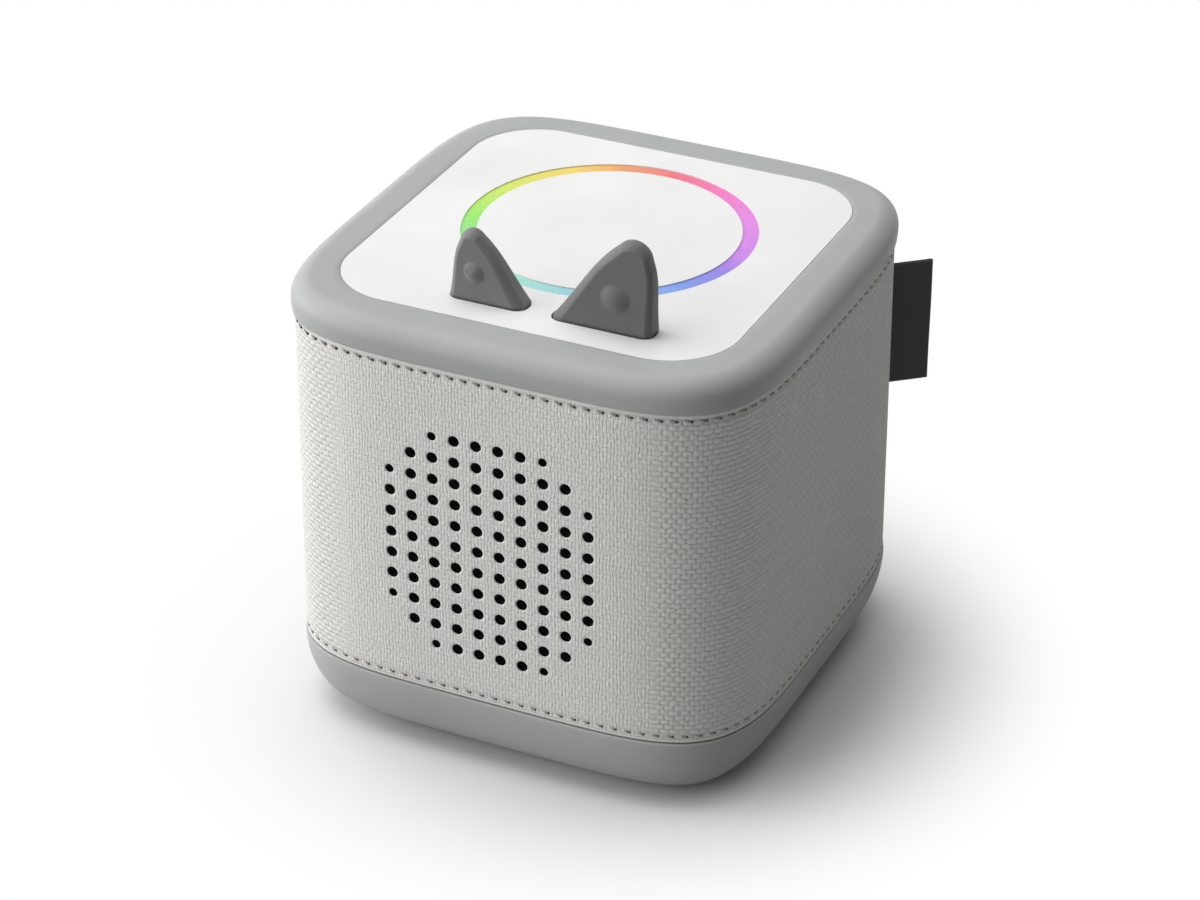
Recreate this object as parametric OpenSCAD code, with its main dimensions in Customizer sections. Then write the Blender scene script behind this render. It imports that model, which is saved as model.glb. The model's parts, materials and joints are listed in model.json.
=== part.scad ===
/* [Body] */
// Width and depth of the fabric cover
cover_w = 120; // [116:0.5:130]
// Corner radius of the cover, seen from above
corner_r = 28; // [27:0.5:30]
// Height of the top plate above the floor
body_h = 113.1; // [108:0.1:126]
// How far the rim and the base stand out from the cover
trim_proud = 0.4; // [0.2:0.1:0.8]
// Thickness of the cover cloth
cloth_t = 1.2; // [0.8:0.1:1.6]
// Thickness of the foam under the cloth
foam_t = 4; // [3:0.5:4.5]
// Wall of the inner housing
housing_t = 2.2; // [1.8:0.1:2.6]

/* [Base] */
// Height of the lower shell's top edge above the floor
base_h = 19; // [18:0.5:20]
// How far the lower shell's rounded side draws in at the floor
base_round = 12.6; // [11:0.2:13]
// Wall of the lower shell
base_t = 2.4; // [2:0.1:2.8]
// How far the feet lift the lower shell off the floor
foot_lift = 1; // [0.6:0.1:1.5]
// Diameter of a rubber foot
foot_d = 14; // [12:0.5:16]
// Depth of the pocket that holds a foot
foot_seat = 0.8; // [0.5:0.1:1]
// How far each foot stands outside the centre of the cover's corner, along each side
foot_out = 1; // [-1:0.5:2]
// Height of the housing floor's underside above the floor
deck_low = 24; // [24:0.5:27]
// Thickness of the housing floor
deck_low_t = 2; // [1.6:0.1:2.4]

/* [Rim and top plate] */
// Height of the rim above the cover's upper seam
rim_h = 7.7; // [7:0.1:9]
// How far the rim's rounded edge draws in at the top
rim_round = 3.7; // [3:0.1:4.5]
// Height of the rim's widest line above the seam
rim_wide = 0.9; // [0.6:0.1:1.2]
// Width of the top plate
plate_w = 98; // [96:0.5:98.5]
// Thickness of the top plate
plate_t = 2.4; // [2.2:0.1:2.6]
// Wall of the rim
rim_t = 2; // [1.8:0.1:2.2]

/* [Light ring] */
// Outer radius of the light ring
ring_out = 34.9; // [33:0.1:35.5]
// Inner radius of the light ring
ring_in = 31.2; // [30.6:0.1:31.8]
// Distance of the ring's centre behind the middle of the plate
ring_y = 5.2; // [4.8:0.1:6.5]
// Depth of the groove for the ring
ring_depth = 1.4; // [1:0.1:1.6]
// How far the ring's face lies below the plate
ring_sunk = 0.15; // [0.05:0.05:0.3]
// Number of lamps under the ring
lamps = 12; // [8:1:16]
// Width of a lamp
lamp_w = 3; // [2:0.5:3.5]

/* [Ears] */
// Distance of the ears' front faces ahead of the middle
ear_front = 41.1; // [40.5:0.1:41.5]
// Thickness of an ear at its foot
ear_t = 5.9; // [5.8:0.1:6.4]
// Thickness of an ear at its tip
ear_tip_t = 3.4; // [3.3:0.1:4]
// Corner radius of an ear's foot
ear_foot_r = 2.6; // [2.3:0.1:2.8]
// Wall of the ears' rubber skin
skin_t = 1; // [0.9:0.05:1.1]
// Gap round the foot of an ear in the plate
ear_gap = 0.25; // [0.15:0.05:0.4]
// Left end of the large ear
large_left = 6.4; // [5:0.1:8]
// Right end of the large ear
large_right = 31.2; // [30.5:0.1:33]
// Tip of the large ear, sideways
large_tip_x = 26.5; // [25:0.1:27]
// Height of the large ear above the plate
large_h = 22.9; // [21:0.1:25]
// Radius of the large ear's tip
large_tip_r = 3.7; // [3:0.1:4.2]
// Button of the large ear, sideways
large_bump_x = 22.6; // [21.5:0.1:23.5]
// Button of the large ear, height above the plate
large_bump_z = 8.7; // [8:0.1:10]
// Radius of the large ear's button
large_bump_r = 3.2; // [2.8:0.1:3.4]
// Left end of the small ear
small_left = -19; // [-20:0.1:-18.5]
// Right end of the small ear
small_right = 0; // [-1:0.1:1.5]
// Tip of the small ear, sideways
small_tip_x = -13; // [-14:0.1:-12.5]
// Height of the small ear above the plate
small_h = 17.9; // [17:0.1:20]
// Radius of the small ear's tip
small_tip_r = 2.9; // [2.4:0.1:3.4]
// Button of the small ear, sideways
small_bump_x = -12.4; // [-12.8:0.1:-11.8]
// Button of the small ear, height above the plate
small_bump_z = 7.5; // [7:0.1:8]
// Radius of the small ear's button
small_bump_r = 2.4; // [2:0.1:2.5]
// How far a button's dome stands out of its ear
dome_h = 0.9; // [0.6:0.1:1.2]
// Travel of a button
button_travel = 0.3; // [0.2:0.05:0.35]
// Width of a key switch
switch_w = 4.8; // [4.2:0.1:5]
// Thickness of a key switch
switch_t = 1.4; // [1.2:0.05:1.45]

/* [Sound holes] */
// Spacing of the sound holes
hole_pitch = 5.55; // [5.4:0.05:5.6]
// Diameter of a sound hole
hole_d = 2.7; // [2:0.1:3]
// Diameter of the holes at the field's rounded corners
edge_hole_d = 2.1; // [1.6:0.1:2.6]
// Height of the middle of the hole field and of the loudspeaker
speaker_z = 59.8; // [58:0.1:61]
// Thickness of the dark cloth behind the holes
mesh_t = 0.5; // [0.3:0.05:0.8]

/* [Loudspeaker] */
// Width of the loudspeaker's square flange
flange_w = 57; // [56:0.5:58]
// Thickness of the basket's sheet metal
basket_t = 1.2; // [1:0.1:1.4]
// Radius of the cone's outer edge
cone_r = 20; // [19.5:0.1:20.5]
// Outer radius of the rubber surround
surround_r = 24; // [23.6:0.1:24.4]
// Travel of the cone each way
cone_travel = 1; // [0.6:0.1:1.2]
// Radius of the voice coil's former
coil_r = 7.3; // [7.2:0.05:7.4]
// Radius of the magnet
magnet_r = 16; // [15:0.5:16.5]
// Thickness of the magnet
magnet_t = 6; // [5:0.5:7]
// Height of the bosses and gasket that the basket is screwed to
boss_h = 4; // [4:0.5:5]

/* [Power and electronics] */
// Diameter of a battery cell
cell_d = 18.4; // [17:0.1:18.6]
// Length of a battery cell
cell_l = 65; // [60:0.5:65.2]
// Width of the main board
board_w = 72; // [70:1:76]
// Height of the main board
board_h = 50; // [50:1:54]
// Thickness of the circuit boards
board_t = 1.6; // [1.2:0.1:1.6]
// Room between the main board and the housing's back wall
board_gap = 6.9; // [6.5:0.1:7.2]

/* [Sockets] */
// Height of the sockets above the floor
port_z = 37; // [36:0.5:38]
// Width of the socket plate's body
port_w = 34; // [32:0.5:36]
// Height of the socket plate's body
port_h = 13; // [12:0.5:14]
// How far the socket plate stands out of the cover
port_proud = 0.6; // [0.4:0.1:0.8]
// Radius of the headphone socket's hole
jack_r = 1.8; // [1.75:0.01:1.85]
// Depth of the headphone socket's hole
jack_depth = 14; // [13:0.5:14]
// Distance of each socket from the middle of the plate
port_at = 8.5; // [8:0.1:9]

/* [Label] */
// Length of the side label out of the seam
tag_len = 11.1; // [8:0.1:11.2]
// Height of the side label
tag_h = 32.2; // [24:0.1:36]
// Thickness of the side label
tag_t = 1; // [0.6:0.1:1.4]
// Height of the label's middle above the floor
tag_z = 78.5; // [70:0.5:84]
// Direction in which the label points, from the right-hand side
tag_angle = 40; // [38:1:50]

/* [Hidden] */
$fn = 96;

// Clearances: between layers of the wall, round screws, round boards and plates, and a hair's breadth
layer_gap = 0.1;
screw_play = 0.05;
fit_gap = 0.2;
hair = 0.05;
// A cut reaches this far past the faces that it goes through
past = 1;

// The layers of the wall share one corner centre, and each half width follows the one outside it
cover_half = cover_w / 2;
corner_c = cover_half - corner_r;
trim_half = cover_half + trim_proud;
foam_half = cover_half - cloth_t - layer_gap;
housing_half = foam_half - foam_t - layer_gap;
room_half = housing_half - housing_t;
plate_half = plate_w / 2;
frame_half = plate_half + fit_gap / 2;
foot_at = corner_c + foot_out;

// The deck's upstand under the plate's edge
upstand_half = plate_half - 0.3;
upstand_t = 1.6;

// Levels above the floor
seam_z = body_h - rim_h;
deck_t = 2;
deck_z = seam_z - deck_t;
plate_z = body_h - plate_t;
base_z = foot_lift;
floor_z = base_z + base_t;
room_z = deck_low + deck_low_t;
skirt_z = base_h - base_t;

// Fasteners: radius of the thread, of the head, and height of the head
screw_r = 1.25;
head_r = 2.2;
head_h = 1.6;
head_room = 0.9;
boss_r = 4;
screw_grip = 8;
rim_grip = 4.2;

// Where the housing's upper corner posts and the base's bosses stand: each screw's head has room
// inside the rounded corners of both the upstand and the housing
post_reach = min(upstand_half - upstand_t, room_half) - corner_c - head_r - head_room;
post_at = corner_c + post_reach / sqrt(2);
base_boss_top = 12;
head_floor = 8;
rim_boss_r = 3;
rim_boss_root = 0.4;
rim_boss_x = min(frame_half - rim_boss_r + rim_boss_root, room_half - head_r - fit_gap);
rim_boss_y = 22;

// The hole field is a rounded square, counted in hole spacings from its middle
field_x = 4.5;
field_z = 5;
field_round = 2.6;
function past_corner(v, half) = max(0, abs(v) - (half - field_round));
function field_dist(a, b) = norm([past_corner(a, field_x), past_corner(b, field_z)]);
hole_places = [
    for (a = [-field_x:1:field_x], b = [-field_z:1:field_z])
        if (field_dist(a, b) < field_round + 0.1) [a, b, field_dist(a, b) > field_round + 0.02]
];

// The loudspeaker, by depth behind the housing's front wall
front_in = room_half;
flange_s = boss_h;
cone_s = flange_s + basket_t;
cone_deep = 7;
cone_t = 0.5;
neck_s = cone_s + cone_deep;
spider_s = neck_s + 2.5;
basket_s = spider_s + 3;
pole_r = coil_r - 0.6;
gap_r = coil_r + 0.8;
front_plate_t = 1.8;
yoke_t = 1.8;
neck_r = coil_r + 0.3;
coil_t = 0.3;
winding_t = 0.35;
coil_out = 2;
cap_deep = 2.6;
cap_back = 1.2;
cap_lip = 0.5;
surround_t = 0.6;
spider_t = 0.5;
speaker_bolt_at = 24.3;
speaker_boss_r = 3;

// The main board stands off the back wall, and its sockets reach the outside
board_y = room_half - board_gap;
board_z = room_z + 3;
board_bolt_x = board_w / 2 - 4;
board_bolt_z = [board_z + 4, board_z + board_h - 4];
port_y = cover_half + port_proud;
jack_nose_r = 3;
jack_body = 9;
usb_w = 8.94;
usb_h = 3.26;
usb_wall = 0.31;
usb_deep = 6.2;

// The boards under the plate
led_z = seam_z + 2.2;
lamp_ring = (ring_out + ring_in) / 2;
led_in = ring_in - 1.6;
led_out = ring_out + 1.9;
top_board_t = 1;
reader_z = led_z + 1;
reader_r = 27;
coil_film = 0.1;
magnet_cup_r = 7.6;
figure_magnet_r = 6;
figure_magnet_t = 3.2;
ribbon_w = 10;
ribbon_t = 0.3;
ribbon_y = board_y - board_t - 1.2;

// The ears: left, right, tip sideways, height, tip radius, button sideways, button height, button radius
large_ear = [
    large_left, large_right, large_tip_x, large_h, large_tip_r,
    large_bump_x, large_bump_z, large_bump_r
];
small_ear = [
    small_left, small_right, small_tip_x, small_h, small_tip_r,
    small_bump_x, small_bump_z, small_bump_r
];
flange_t = 0.3;
flange_grow = 0.8;
switch_s = skin_t + hair + flange_t + button_travel + 0.3;
pocket_s = switch_s + switch_t;
skin_foot = 1.5;
core_top_z = plate_z - skin_foot;
stem_r = 0.9;
stem_in = 0.1;

// Battery tray
tray_t = 0.8;
tray_wall = 1.2;
cell_y = cell_d / 2 + 0.3;
cell_z = floor_z + tray_t + cell_d / 2;
tab_t = 0.3;
tab_over = 8;
tab_h = 7;
tray_half_x = cell_l / 2 + tab_t + fit_gap + tray_wall;
tray_half_y = 2 * cell_y + fit_gap + tray_wall;

// Leads: thickness, and where each floor hole lets one through
lead_r = 1.1;
lead_gap = 0.4;
lead_hole = [20, board_y - 15.5];
lead_hole_r = 2.6;

// A rounded square or rectangle, exact, from straight bars and round corners
module round_rect(hx, hy, r) {
    square([2 * hx, 2 * (hy - r)], center = true);
    square([2 * (hx - r), 2 * hy], center = true);
    for (x = [-1, 1], y = [-1, 1])
        translate([x * (hx - r), y * (hy - r)])
            circle(r);
}

// The same with the wall's shared corner centre
module wall_square(half) {
    round_rect(half, half, half - corner_c);
}

module slab(half, z0, z1) {
    translate([0, 0, z0])
        linear_extrude(z1 - z0)
            wall_square(half);
}

module wall_tube(outer, inner, z0, z1) {
    difference() {
        slab(outer, z0, z1);
        slab(inner, z0 - past, z1 + past);
    }
}

module disc(r, z0, z1) {
    translate([0, 0, z0])
        cylinder(r = r, h = z1 - z0);
}

module ring(r_out, r_in, z0, z1) {
    difference() {
        disc(r_out, z0, z1);
        disc(r_in, z0 - past, z1 + past);
    }
}

// Carries a profile round the four sides and corners; its x counts outwards from the corner centres
module sweep_round_square() {
    for (q = [0:90:270])
        rotate(q) {
            translate([corner_c, corner_c, 0])
                rotate_extrude(angle = 90)
                    children();
            translate([corner_c, corner_c, 0])
                rotate([90, 0, 0])
                    linear_extrude(2 * corner_c)
                        children();
        }
}

// Points of a quarter ellipse, from its side to its top or bottom
function quarter(cx, cz, rx, rz, a0, a1, steps) =
    [for (i = [0:steps]) let (a = a0 + (a1 - a0) * i / steps) [cx + rx * cos(a), cz + rz * sin(a)]];

module at_corners(d) {
    for (x = [-1, 1], y = [-1, 1])
        translate([x * d, y * d, 0])
            children();
}

// A pan-head screw along +Z, with its head's underside at the origin and its thread below it
module screw(grip, head = head_r) {
    difference() {
        union() {
            disc(head, 0, head_h);
            disc(screw_r - screw_play, -grip, 0.01);
        }
        for (q = [0, 90])
            rotate(q)
                translate([0, 0, head_h])
                    cube([2.6, 0.6, 1.4], center = true);
    }
}

// Turns a shape drawn along +Z so that +Z points out of the front face
module facing_front(x, y, z) {
    translate([x, y, z])
        rotate([90, 0, 0])
            children();
}

module facing_back(x, y, z) {
    translate([x, y, z])
        rotate([-90, 0, 0])
            children();
}

module sound_holes(y0, y1) {
    for (h = hole_places)
        facing_back(h[0] * hole_pitch, y0, speaker_z + h[1] * hole_pitch)
            cylinder(d = h[2] ? edge_hole_d : hole_d, h = y1 - y0);
}

module port_cut(grow) {
    facing_back(0, housing_half - past, port_z)
        linear_extrude(cover_half - housing_half + 2 * past)
            round_rect(port_w / 2 + grow, port_h / 2 + grow, 3 + grow);
}

// ---- Base ----

module base_profile() {
    r = trim_half - corner_c;
    rz = base_h - base_z;
    lip_in = housing_half + layer_gap - corner_c;
    lip_a = asin(base_t / (rz - base_t));
    outer = quarter(r - base_round, base_h, base_round, -rz, 0, 90, 14);
    inner = quarter(r - base_round, base_h, base_round - base_t, base_t - rz, 90, lip_a, 12);
    polygon(concat(outer, inner, [[lip_in, base_h - base_t], [lip_in, base_h]]));
}

module bottom_shell() {
    color([0.62, 0.62, 0.62])
        difference() {
            union() {
                sweep_round_square()
                    base_profile();
                slab(trim_half - base_round, base_z, floor_z);
                at_corners(foot_at)
                    disc(boss_r + 0.6, floor_z - hair, base_boss_top);
            }
            at_corners(foot_at) {
                disc(foot_d / 2 + fit_gap / 2, base_z - past, base_z + foot_seat);
                disc(head_r + 0.6, base_z, head_floor);
                disc(screw_r + 0.35, base_z, base_boss_top + past);
            }
        }
}

module rubber_feet() {
    color([0.25, 0.25, 0.25])
        at_corners(foot_at)
            disc(foot_d / 2, 0, base_z + foot_seat);
}

module base_screws() {
    color("silver")
        at_corners(foot_at)
            translate([0, 0, head_floor])
                mirror([0, 0, 1])
                    screw(base_boss_top - head_floor + screw_grip);
}

// ---- Battery ----

module battery_tray() {
    color([0.15, 0.15, 0.16])
        translate([0, 0, floor_z]) {
            linear_extrude(tray_t)
                square([2 * tray_half_x, 2 * tray_half_y], center = true);
            for (s = [-1, 1]) {
                translate([s * (tray_half_x - tray_wall / 2), 0, tray_t - hair + cell_d / 2])
                    cube([tray_wall, 2 * tray_half_y, cell_d], center = true);
                translate([0, s * (tray_half_y - tray_wall / 2), tray_t - hair + cell_d / 4])
                    cube([2 * tray_half_x, tray_wall, cell_d / 2], center = true);
            }
        }
}

module battery_cells() {
    color([0.2, 0.45, 0.75])
        for (s = [-1, 1])
            translate([-cell_l / 2, s * cell_y, cell_z])
                rotate([0, 90, 0])
                    cylinder(d = cell_d - 0.1, h = cell_l);
}

module battery_tabs() {
    color("silver")
        for (s = [-1, 1])
            translate([s * (cell_l / 2 + tab_t / 2), 0, cell_z])
                cube([tab_t, 2 * cell_y + tab_over, tab_h], center = true);
}

// Rings of points carried along a route, joined into a closed tube
function unit(v) = v / norm(v);
function bend(p, i, u) =
    let (n = len(p) - 1, a = p[max(i - 1, 0)], b = p[i], c = p[min(i + 1, n)], d = p[min(i + 2, n)])
    0.5 * (2 * b + (c - a) * u + (2 * a - 5 * b + 4 * c - d) * u * u + (3 * b - a - 3 * c + d) * u * u * u);
function route(p, steps) =
    concat([for (i = [0:len(p) - 2], k = [0:steps - 1]) bend(p, i, k / steps)], [p[len(p) - 1]]);

module lead(points, r, sides = 8, steps = 3) {
    path = route(points, steps);
    last = len(path) - 1;
    rings = [
        for (i = [0:last])
            let (
                t = unit(path[min(i + 1, last)] - path[max(i - 1, 0)]),
                u = unit(cross(t, [1, 0, 0])),
                v = cross(t, u)
            )
            for (k = [0:sides - 1]) path[i] + r * (cos(360 * k / sides) * u + sin(360 * k / sides) * v)
    ];
    walls = [
        for (i = [0:last - 1], k = [0:sides - 1])
            let (a = i * sides + k, b = i * sides + (k + 1) % sides)
            for (f = [[a, b, b + sides], [a, b + sides, a + sides]]) f
    ];
    ends = [[for (k = [sides - 1:-1:0]) k], [for (k = [0:sides - 1]) last * sides + k]];
    polyhedron(rings, concat(walls, ends), convexity = 4);
}

lead_x = lead_hole[0];
lead_y = lead_hole[1];
battery_route = [
    [lead_x, tray_half_y + lead_gap, cell_z],
    [lead_x, lead_y - 2, cell_z + 3],
    [lead_x, lead_y, cell_z + 8],
    [lead_x, lead_y, room_z + 1],
    [lead_x, lead_y + 1, room_z + 6],
    [lead_x, lead_y + 4, room_z + 10],
    [lead_x, board_y - board_t - 6, room_z + 11],
    [lead_x, board_y - board_t - 4 - lead_gap, room_z + 11]
];

module battery_lead() {
    color([0.7, 0.1, 0.1])
        lead(battery_route, lead_r);
}

// ---- Inner housing, foam and cloth ----

module inner_housing() {
    post_low = deck_z - 2 * screw_grip;
    rib_in = sqrt(2) * post_at;
    rib_out = sqrt(2) * corner_c + room_half - corner_c + 1;
    color([0.9, 0.9, 0.88])
        difference() {
            union() {
                wall_tube(housing_half, room_half, skirt_z, deck_z);
                slab(housing_half - hair, deck_low, room_z);
                at_corners(post_at)
                    disc(boss_r, post_low, deck_z);
                for (q = [0:90:270])
                    rotate(q + 45)
                        translate([rib_in, -1, post_low])
                            cube([rib_out - rib_in, 2, deck_z - post_low]);
                at_corners(foot_at)
                    disc(boss_r, base_boss_top + hair, deck_low + hair);
                for (x = [-1, 1], z = [-1, 1])
                    facing_front(x * speaker_bolt_at, -front_in + boss_h, speaker_z + z * speaker_bolt_at)
                        cylinder(r = speaker_boss_r, h = boss_h + hair);
                for (x = [-1, 1], z = board_bolt_z)
                    facing_back(x * board_bolt_x, board_y, z)
                        cylinder(r = boss_r - 1, h = board_gap + hair);
            }
            sound_holes(-housing_half - past, -room_half + hair);
            translate([0, -housing_half, speaker_z])
                rotate([90, 0, 0])
                    linear_extrude(2 * mesh_t, center = true)
                        round_rect(cloth_hx + fit_gap / 2, cloth_hz + fit_gap / 2, cloth_r);
            at_corners(post_at)
                disc(screw_r, deck_z - screw_grip - 1, deck_z + past);
            at_corners(foot_at)
                disc(screw_r, base_boss_top, base_boss_top + screw_grip + 1);
            for (x = [-1, 1], z = [-1, 1])
                facing_front(x * speaker_bolt_at, -front_in + boss_h + past, speaker_z + z * speaker_bolt_at)
                    cylinder(r = screw_r, h = boss_h + past + 0.8);
            for (x = [-1, 1], z = board_bolt_z)
                facing_back(x * board_bolt_x, board_y - past, z)
                    cylinder(r = screw_r, h = board_gap + past);
            facing_back(port_at, room_half - past, port_z)
                cylinder(r = jack_nose_r + fit_gap, h = housing_t + 2 * past);
            facing_back(-port_at, room_half - past, port_z)
                linear_extrude(housing_t + 2 * past)
                    round_rect(usb_w / 2 + fit_gap, usb_h / 2 + fit_gap, usb_h / 2 + fit_gap - 0.01);
            translate([lead_x, lead_y, 0])
                disc(lead_hole_r, deck_low - past, room_z + past);
        }
}

// Half sizes of the dark cloth behind the holes, which stays on the flat of the wall
cloth_hx = min((field_x + 0.6) * hole_pitch, corner_c);
cloth_hz = (field_z + 0.6) * hole_pitch;
cloth_r = 12;

module acoustic_cloth() {
    color([0.06, 0.06, 0.07])
        translate([0, -housing_half + mesh_t, speaker_z])
            rotate([90, 0, 0])
                linear_extrude(mesh_t)
                    round_rect(cloth_hx, cloth_hz, cloth_r);
}

module foam_liner() {
    color([0.85, 0.84, 0.8])
        difference() {
            wall_tube(foam_half, housing_half + layer_gap, base_h + hair, seam_z - hair);
            sound_holes(-foam_half - past, -housing_half + past);
            port_cut(fit_gap);
        }
}

module fabric_cover() {
    color([0.8, 0.79, 0.77])
        difference() {
            wall_tube(cover_half, cover_half - cloth_t, base_h + hair, seam_z - hair);
            sound_holes(-cover_half - past, -foam_half + hair);
            port_cut(fit_gap);
        }
}

module fabric_tag() {
    color([0.18, 0.18, 0.17])
        translate([corner_c, corner_c, tag_z])
            rotate(tag_angle)
                translate([corner_r + 0.02, -tag_t / 2, -tag_h / 2])
                    cube([tag_len, tag_t, tag_h]);
}

// ---- Loudspeaker, drawn with depth along +Z and turned to face the front ----

module in_speaker() {
    translate([0, -front_in, speaker_z])
        rotate([-90, 0, 0])
            children();
}

module speaker_gasket() {
    color([0.1, 0.1, 0.1])
        in_speaker()
            ring(surround_r + 3.6, surround_r + 0.6, hair, flange_s);
}

module speaker_basket() {
    color([0.3, 0.3, 0.32])
        in_speaker()
            difference() {
                union() {
                    translate([0, 0, flange_s])
                        linear_extrude(basket_t)
                            round_rect(flange_w / 2, flange_w / 2, 6);
                    rotate_extrude()
                        polygon([
                            [surround_r - 0.4, flange_s], [surround_r + 1, flange_s],
                            [magnet_r + 2.6, basket_s], [0, basket_s], [0, basket_s - basket_t],
                            [magnet_r + 1.6, basket_s - basket_t]
                        ]);
                }
                disc(surround_r - 0.4, flange_s - past, flange_s + basket_t);
                disc(gap_r + 0.4, basket_s - 2 * basket_t, basket_s + past);
                for (x = [-1, 1], y = [-1, 1])
                    translate([x * speaker_bolt_at, y * speaker_bolt_at, flange_s - past])
                        cylinder(r = screw_r + 0.3, h = basket_t + 2 * past);
                for (q = [45:90:315])
                    rotate(q)
                        translate([magnet_r - 2, -5, flange_s + 2.6])
                            cube([12, 10, spider_s - flange_s - 4.2]);
            }
}

module speaker_surround() {
    color([0.12, 0.12, 0.12])
        in_speaker()
            rotate_extrude()
                difference() {
                    translate([(surround_r - 0.5 + cone_r) / 2, cone_s])
                        circle((surround_r - 0.5 - cone_r) / 2);
                    translate([(surround_r - 0.5 + cone_r) / 2, cone_s])
                        circle((surround_r - 0.5 - cone_r) / 2 - surround_t);
                    translate([cone_r - past, cone_s])
                        square([surround_r, surround_r]);
                }
}

module speaker_cone() {
    color([0.22, 0.22, 0.22])
        in_speaker()
            rotate_extrude()
                polygon([
                    [cone_r - hair, cone_s], [neck_r, neck_s], [neck_r, neck_s + cone_t],
                    [cone_r - hair, cone_s + cone_t]
                ]);
}

module speaker_dust_cap() {
    cap_s = neck_s - cap_back;
    cap_r = neck_r + cap_lip;
    cap_in = cap_r - cone_t;
    color([0.15, 0.15, 0.15])
        in_speaker()
            rotate_extrude()
                difference() {
                    polygon(concat(quarter(0, cap_s, cap_r, -cap_deep, 0, 90, 10), [[0, cap_s]]));
                    polygon(concat(
                        quarter(0, cap_s + hair, cap_in, cone_t - cap_deep, 0, 90, 10),
                        [[0, cap_s + past], [cap_in, cap_s + past]]
                    ));
                }
}

module voice_coil() {
    color([0.72, 0.42, 0.2])
        in_speaker() {
            ring(coil_r, coil_r - coil_t, neck_s, basket_s + front_plate_t + coil_out);
            ring(
                coil_r + winding_t, coil_r - 0.01,
                basket_s - 2 * coil_t, basket_s + front_plate_t + coil_out / 2
            );
        }
}

module speaker_spider() {
    color([0.75, 0.6, 0.3])
        in_speaker()
            ring(magnet_r + 1.4, coil_r + 0.4, spider_s, spider_s + spider_t);
}

module speaker_front_plate() {
    color([0.7, 0.7, 0.72])
        in_speaker()
            ring(magnet_r - 1, gap_r, basket_s, basket_s + front_plate_t);
}

module speaker_magnet() {
    color([0.16, 0.16, 0.17])
        in_speaker()
            ring(magnet_r, gap_r + 1.4, basket_s + front_plate_t, basket_s + front_plate_t + magnet_t);
}

module speaker_yoke() {
    top = basket_s + front_plate_t + magnet_t;
    color([0.7, 0.7, 0.72])
        in_speaker() {
            disc(magnet_r - 1, top, top + yoke_t);
            disc(pole_r, basket_s, top + hair);
        }
}

module speaker_screws() {
    color("silver")
        for (x = [-1, 1], z = [-1, 1])
            facing_back(x * speaker_bolt_at, -front_in + flange_s + basket_t, speaker_z + z * speaker_bolt_at)
                screw(basket_t + boss_h + 0.3);
}

speaker_tail_y = -front_in + basket_s;
speaker_route = [
    [4, speaker_tail_y + lead_gap, speaker_z - magnet_r - 1.6],
    [4, speaker_tail_y + 3, speaker_z - magnet_r - 1.6],
    [5, speaker_tail_y + 8, speaker_z - magnet_r - 6],
    [7, speaker_tail_y + 20, room_z + 3],
    [9, board_y - 45, room_z + lead_r + 0.5],
    [10, board_y - 27, room_z + lead_r + 0.8],
    [8, board_y - 15, room_z + 10],
    [5, board_y - 10, room_z + 19],
    [4, board_y - board_t - 4 - lead_gap, room_z + 20]
];

module speaker_lead() {
    color([0.1, 0.1, 0.1])
        lead(speaker_route, lead_r);
}

// ---- Main board and sockets ----

module main_board() {
    color([0.05, 0.3, 0.16])
        difference() {
            translate([-board_w / 2, board_y - board_t, board_z])
                cube([board_w, board_t, board_h]);
            for (x = [-1, 1], z = board_bolt_z)
                facing_back(x * board_bolt_x, board_y - board_t - past, z)
                    cylinder(r = screw_r + 0.2, h = board_t + 2 * past);
        }
}

// Parts soldered to the board's inner face: middle, size
board_boxes = [
    [[-14, 22], [12, 2, 12]],
    [[-18, 36], [18, 2.4, 13]],
    [[8, 33], [6, 1.2, 5]],
    [[20, 34], [7, 1.4, 7]],
    [[20, 24], [4, 3, 4]],
    [[-28, 10], [6, 5, 6]]
];

module board_parts() {
    color([0.12, 0.12, 0.13])
        for (b = board_boxes)
            translate([b[0][0] - b[1][0] / 2, board_y - board_t - b[1][1], board_z + b[0][1] - b[1][2] / 2])
                cube(b[1]);
    color([0.9, 0.88, 0.8]) {
        translate([lead_x - 4, board_y - board_t - 4, room_z + 8])
            cube([8, 4, 6]);
        translate([0, board_y - board_t - 4, room_z + 17])
            cube([8, 4, 6]);
        translate([-ribbon_w / 2 - 1, board_y - board_t - 1.2, board_z + board_h - 9])
            cube([ribbon_w + 2, 1.2, 4]);
    }
}

module board_screws() {
    color("silver")
        for (x = [-1, 1], z = board_bolt_z)
            facing_front(x * board_bolt_x, board_y - board_t, z)
                screw(board_t + board_gap - 1.5);
}

module headphone_jack() {
    color([0.08, 0.08, 0.09])
        difference() {
            union() {
                translate([port_at - jack_body / 2, board_y, port_z - jack_body / 2])
                    cube([jack_body, board_gap - fit_gap, jack_body]);
                facing_back(port_at, board_y + hair, port_z)
                    cylinder(r = jack_nose_r, h = port_y - board_y - hair);
            }
            facing_back(port_at, port_y - jack_depth, port_z)
                cylinder(r = jack_r, h = jack_depth + past);
        }
}

module usb_socket() {
    usb_l = port_y - board_y;
    color("silver")
        facing_back(-port_at, board_y, port_z) {
            difference() {
                linear_extrude(usb_l)
                    round_rect(usb_w / 2, usb_h / 2, usb_h / 2 - 0.01);
                translate([0, 0, usb_l - usb_deep])
                    linear_extrude(usb_deep + past)
                        round_rect(usb_w / 2 - usb_wall, usb_h / 2 - usb_wall, usb_h / 2 - usb_wall - 0.01);
            }
            translate([-3.35, -0.35, usb_l - usb_deep - hair])
                cube([6.7, 0.7, usb_deep - 1]);
        }
}

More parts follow.
